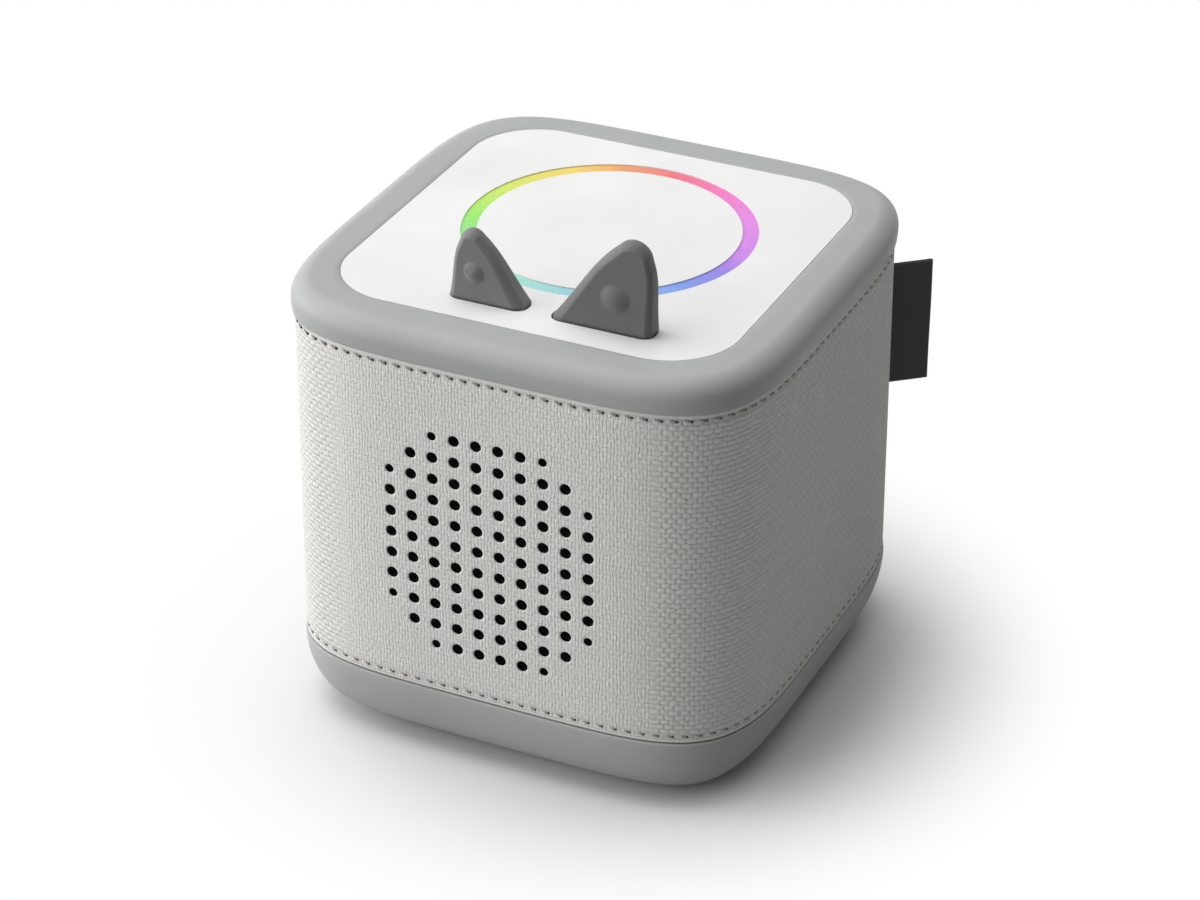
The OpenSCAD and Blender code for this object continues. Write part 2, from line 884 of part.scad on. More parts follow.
module port_plate() {
    color([0.6, 0.6, 0.6])
        difference() {
            union() {
                facing_back(0, housing_half + hair, port_z)
                    linear_extrude(port_y - housing_half - hair)
                        round_rect(port_w / 2, port_h / 2, 3);
                facing_back(0, cover_half, port_z)
                    linear_extrude(port_proud)
                        round_rect(port_w / 2 + 1.6, port_h / 2 + 1.6, 4.6);
            }
            facing_back(port_at, housing_half - past, port_z)
                cylinder(r = jack_nose_r + hair, h = port_y - housing_half + 2 * past);
            facing_back(-port_at, housing_half - past, port_z)
                linear_extrude(port_y - housing_half + 2 * past)
                    round_rect(usb_w / 2 + hair, usb_h / 2 + hair, usb_h / 2 + hair - 0.01);
        }
}

// ---- Deck, boards and ring under the plate ----

module ear_plan(ear, grow) {
    translate([(ear[0] + ear[1]) / 2, -ear_front + ear_t / 2])
        round_rect((ear[1] - ear[0]) / 2 + grow, ear_t / 2 + grow, ear_foot_r + grow);
}

// The rim's four bosses and, from each, the bar that joins it to the rim's inner wall
module at_rim_bosses() {
    for (side = [0, 180], y = [-1, 1])
        rotate(side)
            translate([rim_boss_x, y * rim_boss_y, 0])
                children();
}

module rim_boss(grow, z0, z1) {
    bar = frame_half + rim_boss_root - rim_boss_x;
    disc(rim_boss_r + grow, z0, z1);
    translate([0, -rim_boss_r - grow, z0])
        cube([bar, 2 * (rim_boss_r + grow), z1 - z0]);
}

module top_deck() {
    color([0.88, 0.88, 0.86])
        difference() {
            union() {
                slab(housing_half, deck_z, seam_z);
                wall_tube(upstand_half, upstand_half - upstand_t, seam_z - hair, plate_z);
                translate([0, ring_y, 0]) {
                    ring(lamp_ring + 1, lamp_ring - 1, seam_z - hair, led_z);
                    ring(reader_r - 2, reader_r - 4, seam_z - hair, reader_z);
                    disc(magnet_cup_r, seam_z - hair, reader_z + top_board_t);
                }
            }
            translate([0, ring_y, 0])
                disc(figure_magnet_r + hair, seam_z + 1, plate_z);
            at_corners(post_at)
                disc(screw_r + 0.25, deck_z - past, seam_z + past);
            at_rim_bosses() {
                disc(screw_r + 0.25, deck_z - past, seam_z + past);
                rim_boss(fit_gap, seam_z, plate_z + past);
            }
            translate([-ribbon_w / 2 - 1, ribbon_y - 1, deck_z - past])
                cube([ribbon_w + 2, 2.6, deck_t + led_z - seam_z + past + 1]);
        }
}

module deck_screws() {
    color("silver")
        at_corners(post_at)
            translate([0, 0, seam_z])
                screw(deck_t + screw_grip);
}

module rim_screws() {
    color("silver")
        at_rim_bosses()
            translate([0, 0, deck_z])
                mirror([0, 0, 1])
                    screw(deck_t + rim_grip);
}

module led_board() {
    ribbon_side = ribbon_y - ribbon_t - hair - fit_gap;
    color([0.92, 0.92, 0.9])
        difference() {
            translate([0, ring_y, 0])
                ring(led_out, led_in, led_z, led_z + top_board_t);
            translate([-ribbon_w / 2 - 1, ribbon_side, led_z - past])
                cube([ribbon_w + 2, led_out, top_board_t + 2 * past]);
        }
}

module led_lamps() {
    color([1, 0.98, 0.85])
        translate([0, ring_y, 0])
            for (i = [0:lamps - 1])
                rotate(90 + i * 360 / lamps + 180 / lamps)
                    translate([lamp_ring - lamp_w / 2, -lamp_w / 2, led_z + top_board_t])
                        cube([lamp_w, lamp_w, 1.2]);
}

module reader_board() {
    color([0.05, 0.3, 0.16])
        translate([0, ring_y, 0])
            ring(reader_r, magnet_cup_r + fit_gap, reader_z, reader_z + top_board_t);
}

module reader_coil() {
    color([0.72, 0.42, 0.2])
        translate([0, ring_y, 0])
            for (r = [reader_r - 1:-2:reader_r - 9])
                ring(r, r - 1, reader_z + top_board_t, reader_z + top_board_t + coil_film);
}

module figure_magnet() {
    color([0.75, 0.75, 0.77])
        translate([0, ring_y, 0])
            disc(figure_magnet_r, seam_z + 1, seam_z + 1 + figure_magnet_t);
}

module top_ribbon() {
    top = led_z + top_board_t + hair;
    low = board_z + board_h - 8;
    flat_from = min(ring_y + led_out, ribbon_y) - 3;
    color([0.85, 0.55, 0.2]) {
        translate([-ribbon_w / 2, ribbon_y - ribbon_t - hair, low])
            cube([ribbon_w, ribbon_t, top + ribbon_t - low]);
        translate([-ribbon_w / 2, flat_from, top])
            cube([ribbon_w, ribbon_y - hair - flat_from, ribbon_t]);
    }
}

// ---- Rim, plate and light ring ----

module rim_profile() {
    r = trim_half - corner_c;
    r_in = frame_half - corner_c;
    wide_z = seam_z + rim_wide;
    under_z = body_h - plate_t;
    wall_in = r - rim_t - 0.6;
    crown_in = max(r - rim_round - 1.6, r_in + rim_t + fit_gap);
    outer = quarter(r - rim_round, wide_z, rim_round, body_h - wide_z, 0, 90, 14);
    polygon(concat(
        [[r - 0.3, seam_z + hair]], outer,
        [
            [r_in, body_h], [r_in, seam_z + hair], [r_in + rim_t, seam_z + hair], [r_in + rim_t, under_z],
            [crown_in, under_z], [wall_in, wide_z + 1.6], [wall_in, seam_z + hair]
        ]
    ));
}

module top_rim() {
    color([0.72, 0.72, 0.72])
        difference() {
            union() {
                sweep_round_square()
                    rim_profile();
                at_rim_bosses()
                    rim_boss(0, seam_z + hair, plate_z - hair);
            }
            at_rim_bosses()
                disc(screw_r, seam_z - past, seam_z + rim_grip + fit_gap);
        }
}

module top_plate() {
    color([0.95, 0.95, 0.94])
        difference() {
            slab(plate_half, plate_z, body_h);
            translate([0, ring_y, 0])
                ring(ring_out + hair, ring_in - hair, body_h - ring_depth, body_h + past);
            translate([0, ring_y, 0])
                for (i = [0:lamps - 1])
                    rotate(90 + i * 360 / lamps + 180 / lamps)
                        translate([lamp_ring, 0, plate_z - past])
                            cylinder(d = 3.4, h = plate_t);
            for (ear = [large_ear, small_ear])
                translate([0, 0, plate_z - past])
                    linear_extrude(plate_t + 2 * past)
                        ear_plan(ear, ear_gap);
        }
}

module light_ring() {
    color([0.9, 0.6, 0.9])
        translate([0, ring_y, 0])
            ring(ring_out, ring_in, body_h - ring_depth, body_h - ring_sunk);
}

// ---- Ears ----

// The ear's form, drawn in by `inset` all round: an upright foot, and a tip rounded over its own radius
module ear_form(ear, inset, low) {
    foot_r = ear_foot_r - inset;
    tip_r = ear_tip_t / 2 - inset;
    foot_in = ear_foot_r;
    arc_r = ear[4] - ear_tip_t / 2;
    ends = [ear[0] + foot_in, ear[1] - foot_in];
    faces = [foot_in - ear_front, ear_t - foot_in - ear_front];
    hull() {
        for (x = ends, y = faces)
            translate([x, y, low])
                cylinder(r = foot_r, h = body_h - low, $fn = 32);
        for (a = [0:36:180])
            translate([
                ear[2] + arc_r * cos(a), -ear_front + ear_tip_t / 2,
                body_h + ear[3] - ear[4] + arc_r * sin(a)
            ])
                sphere(r = tip_r, $fn = 28);
    }
}

// Turns a shape drawn along +Z so that it points out of an ear's front, with its origin on that face
module at_button(ear) {
    facing_front(ear[5], -ear_front, body_h + ear[6])
        children();
}

module ear_core(ear) {
    difference() {
        union() {
            ear_form(ear, skin_t + hair, core_top_z - hair);
            translate([0, 0, seam_z])
                linear_extrude(core_top_z - seam_z)
                    ear_plan(ear, skin_foot - fit_gap);
        }
        at_button(ear)
            disc(ear[7] + flange_grow + 0.3, -pocket_s, 0);
    }
}

module ear_switch(ear) {
    at_button(ear)
        difference() {
            translate([-switch_w / 2, -switch_w / 2, -pocket_s])
                cube([switch_w, switch_w, switch_t]);
            disc(stem_r + fit_gap, -switch_s - button_travel - 0.4, 0);
        }
}

module ear_button(ear) {
    r = ear[7] - 0.15;
    dome_r = (r * r + dome_h * dome_h) / (2 * dome_h);
    at_button(ear) {
        intersection() {
            translate([0, 0, dome_h - dome_r])
                sphere(dome_r);
            disc(r, 0, dome_h + past);
        }
        disc(r, -skin_t - hair - flange_t / 2, 0);
        disc(r + flange_grow, -skin_t - hair - flange_t, -skin_t - hair);
        disc(stem_r, -switch_s - stem_in, -skin_t - hair - flange_t / 2);
    }
}

module ear_skin(ear) {
    difference() {
        union() {
            ear_form(ear, 0, plate_z - hair);
            translate([0, 0, core_top_z])
                linear_extrude(skin_foot)
                    ear_plan(ear, skin_foot - fit_gap);
        }
        ear_form(ear, skin_t, core_top_z - past);
        at_button(ear)
            disc(ear[7], -skin_t - past, past);
    }
}

module large_ear_core() {
    color([0.9, 0.9, 0.88])
        ear_core(large_ear);
}

module large_ear_switch() {
    color([0.2, 0.2, 0.22])
        ear_switch(large_ear);
}

module large_ear_button() {
    color([0.4, 0.4, 0.4])
        ear_button(large_ear);
}

module large_ear_skin() {
    color([0.4, 0.4, 0.4])
        ear_skin(large_ear);
}

module small_ear_core() {
    color([0.9, 0.9, 0.88])
        ear_core(small_ear);
}

module small_ear_switch() {
    color([0.2, 0.2, 0.22])
        ear_switch(small_ear);
}

module small_ear_button() {
    color([0.4, 0.4, 0.4])
        ear_button(small_ear);
}

module small_ear_skin() {
    color([0.4, 0.4, 0.4])
        ear_skin(small_ear);
}

bottom_shell();
rubber_feet();
base_screws();
battery_tray();
battery_cells();
battery_tabs();
battery_lead();
inner_housing();
foam_liner();
fabric_cover();
fabric_tag();
acoustic_cloth();
speaker_gasket();
speaker_basket();
speaker_surround();
speaker_cone();
speaker_dust_cap();
voice_coil();
speaker_spider();
speaker_magnet();
speaker_front_plate();
speaker_yoke();
speaker_screws();
speaker_lead();
main_board();
board_parts();
board_screws();
headphone_jack();
usb_socket();
port_plate();
top_deck();
deck_screws();
rim_screws();
led_board();
led_lamps();
reader_board();
reader_coil();
figure_magnet();
top_ribbon();
top_rim();
top_plate();
light_ring();
large_ear_core();
large_ear_switch();
large_ear_button();
large_ear_skin();
small_ear_core();
small_ear_switch();
small_ear_button();
small_ear_skin();
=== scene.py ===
"""The looks of an audio story player for children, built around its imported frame.

A soft cube: grey shells above and below a sewn cloth cover with punched sound holes, a white top
plate with a lit ring, two rubber ears that are its buttons, and a small label in the rear seam.
All lengths are in metres, in the frame's own axes: the front looks towards -Y, and up is +Z.
"""
import json
import math

import bmesh
import bpy
import numpy as np
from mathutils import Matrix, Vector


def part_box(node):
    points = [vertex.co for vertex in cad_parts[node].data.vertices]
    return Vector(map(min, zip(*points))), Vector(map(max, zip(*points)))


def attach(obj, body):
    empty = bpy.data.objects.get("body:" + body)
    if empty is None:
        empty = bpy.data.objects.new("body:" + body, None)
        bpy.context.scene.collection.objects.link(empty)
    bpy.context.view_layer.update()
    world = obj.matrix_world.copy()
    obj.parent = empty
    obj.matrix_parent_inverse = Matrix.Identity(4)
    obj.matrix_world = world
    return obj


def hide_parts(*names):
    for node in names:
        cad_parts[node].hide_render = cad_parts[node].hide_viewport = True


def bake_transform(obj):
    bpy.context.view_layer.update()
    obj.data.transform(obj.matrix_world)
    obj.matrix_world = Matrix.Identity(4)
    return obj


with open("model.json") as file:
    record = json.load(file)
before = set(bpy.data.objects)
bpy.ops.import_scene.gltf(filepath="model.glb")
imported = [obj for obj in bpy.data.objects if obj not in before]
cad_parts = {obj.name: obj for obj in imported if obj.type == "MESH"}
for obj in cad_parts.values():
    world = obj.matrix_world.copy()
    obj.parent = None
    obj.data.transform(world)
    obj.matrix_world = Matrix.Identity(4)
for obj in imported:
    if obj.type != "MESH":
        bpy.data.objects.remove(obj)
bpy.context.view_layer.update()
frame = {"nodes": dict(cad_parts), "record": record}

MM = 0.001

# ---- Camera ----
# It stands in front, to the right and above, as the photograph was taken, with a long lens.

VIEW_TURN = math.radians(25.07)
VIEW_RISE = math.radians(30.05)
VIEW_TILT = math.radians(0.06)
VIEW_FROM = (0.31952, -0.68417, 0.49290)
VIEW_LENS = 108.76


def placed(name, data):
    """A new object in the scene, at the origin, that holds a mesh, a lamp or a camera."""
    made = bpy.data.objects.new(name, data)
    bpy.context.scene.collection.objects.link(made)
    return made


camera = placed("camera", bpy.data.cameras.new("camera"))
camera.data.lens = VIEW_LENS
camera.data.sensor_width = 36
camera.location = VIEW_FROM
camera.rotation_euler = (math.pi / 2 - VIEW_RISE, -VIEW_TILT, VIEW_TURN)
bpy.context.scene.camera = camera
bpy.context.scene.view_settings.view_transform = "Standard"


# ---- Studio: floor, light ----
# A pale sheet on a table, big soft boxes at the left, in front and above, and a little light from
# behind. The room and the floor further off show white, and near the player it keeps its shadow.

def add_node(mat, kind, *inputs, **settings):
    """One shader node. Its inputs, in socket order, are numbers, colours or other nodes' outputs, and None
    leaves a socket as it is."""
    made = mat.node_tree.nodes.new("ShaderNode" + kind)
    for key, value in settings.items():
        setattr(made, key, value)
    for socket, value in zip(made.inputs, inputs):
        if isinstance(value, bpy.types.NodeSocket):
            mat.node_tree.links.new(value, socket)
        elif value is not None:
            socket.default_value = value
    return made


def sums(mat, operation, *inputs):
    """The output of one Math node."""
    return add_node(mat, "Math", *inputs, operation=operation).outputs[0]


def seen_ray(mat):
    """1 for rays that show the surface in the picture, straight or through gloss and glass, else 0."""
    path = add_node(mat, "LightPath").outputs
    glossy = sums(mat, "MAXIMUM", path["Is Glossy Ray"], path["Is Transmission Ray"])
    return sums(mat, "MAXIMUM", path["Is Camera Ray"], glossy)


ROOM_LIGHT = 0.015
world = bpy.data.worlds.new("room")
bpy.context.scene.world = world
world.use_nodes = True
world.node_tree.nodes.clear()
soft = add_node(world, "Background", (0.96, 0.98, 1.0, 1), ROOM_LIGHT)
white = add_node(world, "Background", (1, 1, 1, 1), 1.0)
shown = add_node(world, "MixShader", seen_ray(world), soft.outputs[0], white.outputs[0])
add_node(world, "OutputWorld", shown.outputs[0])

FLOOR_HALF = 3.0
FLOOR_FADE = (0.060, 0.122)
FLOOR_BOUNCE = 0.5
FLOOR_SHARE = 0.74

floor_mesh = bpy.data.meshes.new("floor")
floor_mesh.from_pydata(
    [(x * FLOOR_HALF, y * FLOOR_HALF, 0) for x, y in ((-1, -1), (1, -1), (1, 1), (-1, 1))], [], [(0, 1, 2, 3)]
)
floor = placed("floor", floor_mesh)

paper = bpy.data.materials.new("paper_floor")
paper.use_nodes = True
paper.node_tree.nodes.clear()
place = add_node(paper, "TexCoord").outputs["Object"]
away = add_node(paper, "VectorMath", place, operation="LENGTH").outputs["Value"]
far_off = add_node(paper, "MapRange", away, *FLOOR_FADE, 0.0, 1.0, interpolation_type="SMOOTHSTEP").outputs[0]
unseen = add_node(paper, "BsdfDiffuse", (FLOOR_BOUNCE, FLOOR_BOUNCE, FLOOR_BOUNCE, 1))
lit = add_node(paper, "BsdfDiffuse", (FLOOR_SHARE, FLOOR_SHARE, FLOOR_SHARE, 1))
far_look = add_node(paper, "Emission", (1, 1, 1, 1), 1.0)
seen = add_node(paper, "MixShader", far_off, lit.outputs[0], far_look.outputs[0])
look = add_node(paper, "MixShader", seen_ray(paper), unseen.outputs[0], seen.outputs[0])
add_node(paper, "OutputMaterial", look.outputs[0])
floor_mesh.materials.append(paper)


def lamp(name, place, aim, size, power):
    """A square soft light that looks from place to aim."""
    light = bpy.data.lights.new(name, "AREA")
    light.size = size
    light.energy = power
    holder = placed(name, light)
    holder.location = place
    across = np.array(aim, float) - np.array(place, float)
    holder.rotation_euler = (
        math.atan2(math.hypot(across[0], across[1]), -across[2]), 0, math.atan2(-across[0], across[1])
    )


AIM = (0, 0, 0.06)
lamp("left_box", (-1.6, -0.3, 0.5), AIM, 1.2, 22.5)
lamp("front_left_box", (-1.2, -1.2, 0.45), AIM, 1.2, 15.2)
lamp("high_left_box", (-0.6, 0.0, 1.6), AIM, 1.2, 16.0)
lamp("top_box", (0.0, 0.0, 1.7), AIM, 1.6, 10.5)
lamp("front_box", (-0.2, -1.6, 0.45), AIM, 1.2, 2.0)
lamp("back_box", (0.1, 1.1, 1.3), AIM, 1.2, 1.8)
lamp("right_back_box", (1.1, 1.0, 1.1), AIM, 1.2, 3.2)


# ---- Bottom shell ----
# The lower shell is one moulding in satin grey plastic. Its side rounds under to a flat bottom, and
# its upper edge holds the cloth. Four screws behind the feet fix it to the housing.

def outline_normal(x, y, half, power):
    """The outward normal of |x/half|^power + |y/half|^power = 1: its gradient, made one long."""
    nx = np.sign(x) * np.abs(x / half) ** (power - 1)
    ny = np.sign(y) * np.abs(y / half) ** (power - 1)
    size = np.hypot(nx, ny)
    return nx / size, ny / size


def superellipse(half, power, turns):
    """The plan outline |x/half|^power + |y/half|^power = 1 at polar angles turns: x, y and its normal."""
    c, s = np.cos(turns), np.sin(turns)
    reach = half * (np.abs(c) ** power + np.abs(s) ** power) ** (-1 / power)
    x, y = reach * c, reach * s
    return x, y, *outline_normal(x, y, half, power)


def grid_faces(rows, columns, wrap_rows=False, wrap_columns=True):
    """The four corners of each face of a grid of rows x columns points, counted row by row."""
    r = np.arange(rows if wrap_rows else rows - 1)[:, None]
    c = np.arange(columns if wrap_columns else columns - 1)[None, :]
    r1, c1 = (r + 1) % rows, (c + 1) % columns
    corners = [r * columns + c, r * columns + c1, r1 * columns + c1, r1 * columns + c]
    return np.stack(np.broadcast_arrays(*corners), -1).reshape(-1, 4)


def piece_from(name, points, faces, weld=0.0, outward=False, caps=False):
    """A mesh object from arrays of points and faces. weld merges doubles, outward turns a closed shape's
    normals out, and caps closes open ends."""
    mesh = bpy.data.meshes.new(name)
    mesh.from_pydata(points.reshape(-1, 3).tolist(), [], faces.tolist())
    if weld or outward or caps:
        work = bmesh.new()
        work.from_mesh(mesh)
        if weld:
            bmesh.ops.remove_doubles(work, verts=work.verts, dist=weld)
            bmesh.ops.dissolve_degenerate(work, edges=work.edges, dist=weld / 4)
        if caps:
            bmesh.ops.holes_fill(work, edges=[e for e in work.edges if e.is_boundary], sides=0)
        if outward:
            bmesh.ops.recalc_face_normals(work, faces=work.faces)
        work.to_mesh(mesh)
        work.free()
    mesh.shade_smooth()
    return placed(name, mesh)


def shader_of(mat):
    """The material's main shader."""
    return mat.node_tree.nodes["Principled BSDF"]


def finish(name, colour, roughness, **sockets):
    """A material whose colour, roughness and other sockets are constants, to be added to."""
    mat = bpy.data.materials.new(name)
    mat.use_nodes = True
    shader = shader_of(mat)
    shader.inputs["Base Color"].default_value = (*colour, 1)
    shader.inputs["Roughness"].default_value = roughness
    for key, value in sockets.items():
        shader.inputs[key.replace("_", " ")].default_value = value
    return mat


def into(mat, socket, output):
    """Feeds a node's output into a socket of the main shader."""
    mat.node_tree.links.new(output, shader_of(mat).inputs[socket])


def grain(mat, scale, detail=3.0, stretch=None):
    """Noise from 0 to 1 on the piece's own coordinates, scale cells to the metre."""
    where = add_node(mat, "TexCoord").outputs["Object"]
    if stretch:
        where = add_node(mat, "Mapping", where, None, None, stretch).outputs[0]
    return add_node(mat, "TexNoise", where, None, scale, detail, 0.55, noise_dimensions="3D").outputs[0]


def spread(mat, value, low, high, to_low=0.0, to_high=1.0, **settings):
    """value carried from low..high to to_low..to_high, and held there."""
    return add_node(mat, "MapRange", value, low, high, to_low, to_high, **settings).outputs[0]


def tinted(mat, factor, *ends):
    """Colour from the first end to the second as factor goes from 0 to 1. The Mix node's colours are its
    seventh and eighth sockets."""
    ends = [end if isinstance(end, bpy.types.NodeSocket) else (*end, 1) for end in ends]
    return add_node(mat, "Mix", factor, *[None] * 5, *ends, data_type="RGBA").outputs[2]


def raised(mat, height, depth):
    """The normal of a relief of that height, depth metres deep."""
    return add_node(mat, "Bump", 1.0, depth, 0.1, height).outputs[0]


def moulded(name, colour, roughness, fine=2600.0, depth=0.012 * MM, **sockets):
    """Moulded plastic: a fine spark-eroded grain, faint cloudiness, and rubbed spots that shine more."""
    mat = finish(name, colour, roughness, **sockets)
    cloud = grain(mat, 38.0, 2.0)
    pale = tuple(min(1, c * 1.035) for c in colour)
    deep = tuple(c * 0.965 for c in colour)
    into(mat, "Base Color", tinted(mat, spread(mat, cloud, 0.3, 0.7), deep, pale))
    rubbed = spread(mat, grain(mat, 210.0, 5.0), 0.56, 0.74)
    into(mat, "Roughness", spread(mat, rubbed, 0, 1, roughness, roughness * 0.8))
    into(mat, "Normal", raised(mat, grain(mat, fine, 2.0), depth))
    return mat


AROUND = 384
turns = np.arange(AROUND) * 2 * math.pi / AROUND
shell_low, shell_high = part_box("bottom_shell")
TRIM_HALF = shell_high.x
TRIM_POWER = 4.88
SHELL_ROUND = 12.6 * MM
SHELL_WALL = 2.4 * MM
SHELL_LEDGE = 5.6 * MM
LIP = 0.35 * MM
shell_rise = shell_high.z - shell_low.z


def swept(outline, profile):
    """A profile of (distance inwards, height) pairs carried round a plan outline: rows are the profile."""
    x, y, nx, ny = outline
    inward, height = profile[:, :1], profile[:, 1:]
    return np.stack([x - nx * inward, y - ny * inward, np.broadcast_to(height, (len(profile), len(x)))], -1)


def quarter(first, last, steps, rx, rz, cx, cz):
    """Points (cx - rx cos a, cz + rz sin a) for the angle a from first to last degrees."""
    a = np.radians(np.linspace(first, last, steps))
    return np.stack([cx - rx * np.cos(a), cz + rz * np.sin(a)], -1)


trim_outline = superellipse(TRIM_HALF, TRIM_POWER, turns)
top = shell_high.z
shell_outer = quarter(0, -90, 26, SHELL_ROUND, shell_rise, SHELL_ROUND, top)
shell_outer[0, 1] -= LIP
shell_lip = quarter(90, 0, 5, LIP, LIP, LIP, top - LIP)[:-1]
inner_round = SHELL_ROUND - SHELL_WALL
shell_inner = quarter(-90, -12, 16, inner_round, shell_rise - SHELL_WALL, SHELL_ROUND, top)
shell_ledge = np.array([[SHELL_LEDGE, top - SHELL_WALL], [SHELL_LEDGE, top]])
shell_rings = swept(trim_outline, np.concatenate([shell_lip, shell_outer]))
shell_inside = swept(trim_outline, np.concatenate([shell_inner, shell_ledge]))
middles = np.linspace(0.97, 0, 8)[:, None, None] * np.array([1, 1, 0])
under = shell_rings[-1] * middles + np.array([0, 0, shell_low.z])
above = shell_inside[0] * middles[::-1] + np.array([0, 0, shell_low.z + SHELL_WALL])
shell_points = np.concatenate([shell_rings, under, above, shell_inside])
shell_faces = grid_faces(len(shell_points), AROUND, wrap_rows=True)
shell = piece_from("lower_shell", shell_points, shell_faces, 0.01 * MM, outward=True)
grey_plastic = moulded("grey_satin_plastic", (0.385, 0.385, 0.385), 0.5, Specular_IOR_Level=0.06)
shell.data.materials.append(grey_plastic)
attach(shell, "player")
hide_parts("bottom_shell")


# ---- Feet and base screws ----
# Four rubber discs, pressed into pockets over the screw heads, with a turned edge and a dull face.

feet_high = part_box("rubber_feet")[1]
FOOT_R = 7.0 * MM
FOOT_EDGE = 0.45 * MM
FOOT_DISH = 0.12 * MM
foot_at = feet_high.x - FOOT_R


def lathe(name, profile, at=(0, 0, 0), sides=96, **options):
    """A profile of (radius, height) pairs turned about a vertical axis through at."""
    a = np.arange(sides) * 2 * math.pi / sides
    r, h = profile[:, 0][:, None], profile[:, 1][:, None]
    ring = np.stack([r * np.cos(a), r * np.sin(a), np.broadcast_to(h, (len(profile), sides))], -1)
    return piece_from(name, ring + np.array(at), grid_faces(len(profile), sides), 0.005 * MM, **options)


def joined(name, parts):
    """The parts' meshes as one piece."""
    work = bmesh.new()
    for part in parts:
        work.from_mesh(part.data)
        bpy.data.objects.remove(part)
    mesh = bpy.data.meshes.new(name)
    work.to_mesh(mesh)
    work.free()
    return placed(name, mesh)


foot_side = quarter(90, 0, 6, FOOT_EDGE, -FOOT_EDGE, 0, 0)
foot_profile = np.array([
    [0, FOOT_DISH], [FOOT_R * 0.55, FOOT_DISH], [FOOT_R * 0.62, 0],
    *[[FOOT_R - FOOT_EDGE - dx, FOOT_EDGE + dz] for dx, dz in foot_side],
    [FOOT_R, feet_high.z], [0, feet_high.z]
])
feet = joined("feet", [
    lathe("foot", foot_profile, (x * foot_at, y * foot_at, 0), 72, outward=True)
    for x in (-1, 1) for y in (-1, 1)
])
foot_rubber = moulded("foot_rubber", (0.05, 0.05, 0.05), 0.75, 3400.0, 0.02 * MM)
feet.data.materials.append(foot_rubber)
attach(feet, "player")
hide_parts("rubber_feet")


# ---- Cloth cover ----
# A woven cloth with a black backing, stretched round the foam on all four sides, folded in and sewn
# at both edges. The front is punched with 98 sound holes on a square grid, in a rounded square.

cover_low, cover_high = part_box("fabric_cover")
COVER_HALF = (60.2 * MM, 60.0 * MM)
COVER_POWER = (4.85, 4.7)
CLOTH_T = 1.0 * MM
HOLE_PITCH = 5.55 * MM
HOLE_R = 1.35 * MM
EDGE_HOLE_R = 1.05 * MM
HOLES_Z = 59.8 * MM
HOLE_COLUMNS = 10
HOLE_ROWS = 11
FIELD = ((HOLE_COLUMNS - 1) / 2, (HOLE_ROWS - 1) / 2)
FIELD_ROUND = 2.6
FIELD_EDGE = (0.02, 0.10)
CELL = 6
HOLE_FLAT = 0.16 * MM
STITCHES = 128
STITCH_TOP = 1.75 * MM
STITCH_LOW = 1.95 * MM
VALLEY = (0.42 * MM, 0.62 * MM)
TURN_TOP = (0.15 * MM, 0.5 * MM)
TURN_LOW = (0.75 * MM, 0.7 * MM)
SEAM = (0.4 * MM, 0.55 * MM)
UNDER_HOLES = 28.0 * MM
cover_height = cover_high.z - cover_low.z


def cover_plan(z):
    """Half width and power of the cover's outline at height z."""
    t = (z - cover_low.z) / cover_height
    half = COVER_HALF[0] + (COVER_HALF[1] - COVER_HALF[0]) * t
    power = COVER_POWER[0] + (COVER_POWER[1] - COVER_POWER[0]) * t
    return half, power


def front_of(x, half, power):
    """The y at which the front of the outline |x/half|^power + |y/half|^power = 1 crosses x."""
    return -half * (1 - (np.abs(x) / half) ** power) ** (1 / power)


def even_turns(half, power, start, stop, count):
    """Polar angles from start to stop that part the outline between them into equal lengths."""
    fine = np.linspace(start, stop, 6000)
    x, y, _, _ = superellipse(half, power, fine)
    run = np.concatenate([[0], np.cumsum(np.hypot(np.diff(x), np.diff(y)))])
    return np.interp(np.linspace(0, run[-1], count), run, fine)


def cover_inset(z, s):
    """How far the cloth lies inside its outline: a bell-shaped valley along each stitch line, deepest at
    each stitch, edges that turn in as a square, and the bell-shaped groove of the rear seam."""
    up, down = cover_high.z - z, z - cover_low.z
    pucker = 0.75 + 0.25 * np.cos(2 * math.pi * s / STITCH_PITCH)
    valley_top = VALLEY[0] * np.exp(-((up - STITCH_TOP) / VALLEY[1]) ** 2) * pucker
    valley_low = VALLEY[0] * np.exp(-((down - STITCH_LOW) / VALLEY[1]) ** 2) * pucker
    turned_top = TURN_TOP[0] * np.clip(1 - up / TURN_TOP[1], 0, 1) ** 2
    turned_low = TURN_LOW[0] * np.clip(1 - down / TURN_LOW[1], 0, 1) ** 2
    seam = SEAM[0] * np.exp(-((s - seam_s) / SEAM[1]) ** 2)
    return valley_top + valley_low + turned_top + turned_low + seam


# Columns: even steps in x across the holes, then even steps along the outline round to the start.
mid_half, mid_power = cover_plan(HOLES_Z)
block_x = (np.arange(HOLE_COLUMNS * CELL + 1) - HOLE_COLUMNS * CELL / 2) * HOLE_PITCH / CELL
edge_turn = math.atan2(front_of(block_x[-1], mid_half, mid_power), block_x[-1])
round_turns = even_turns(mid_half, mid_power, edge_turn, math.pi - edge_turn, 316)[1:-1]
columns = len(block_x) + len(round_turns)

# Rows: close steps at the two hems, then the holes' own grid.
hem_steps = np.array([0, 0.2, 0.4, 0.6, 0.85, 1.1, 1.4, 1.7, 2.0, 2.3, 2.7, 3.2, 4.0, 5.1, 6.4, 7.8]) * MM
block_z = HOLES_Z + (np.arange(HOLE_ROWS * CELL + 1) - HOLE_ROWS * CELL / 2) * HOLE_PITCH / CELL
over_block = np.linspace(cover_high.z - hem_steps[-1], block_z[-1], 9)[1:-1][::-1]
levels = np.concatenate([
    cover_low.z + hem_steps, [UNDER_HOLES], block_z, over_block, cover_high.z - hem_steps[::-1]
])
first_block_row = len(hem_steps) + 1

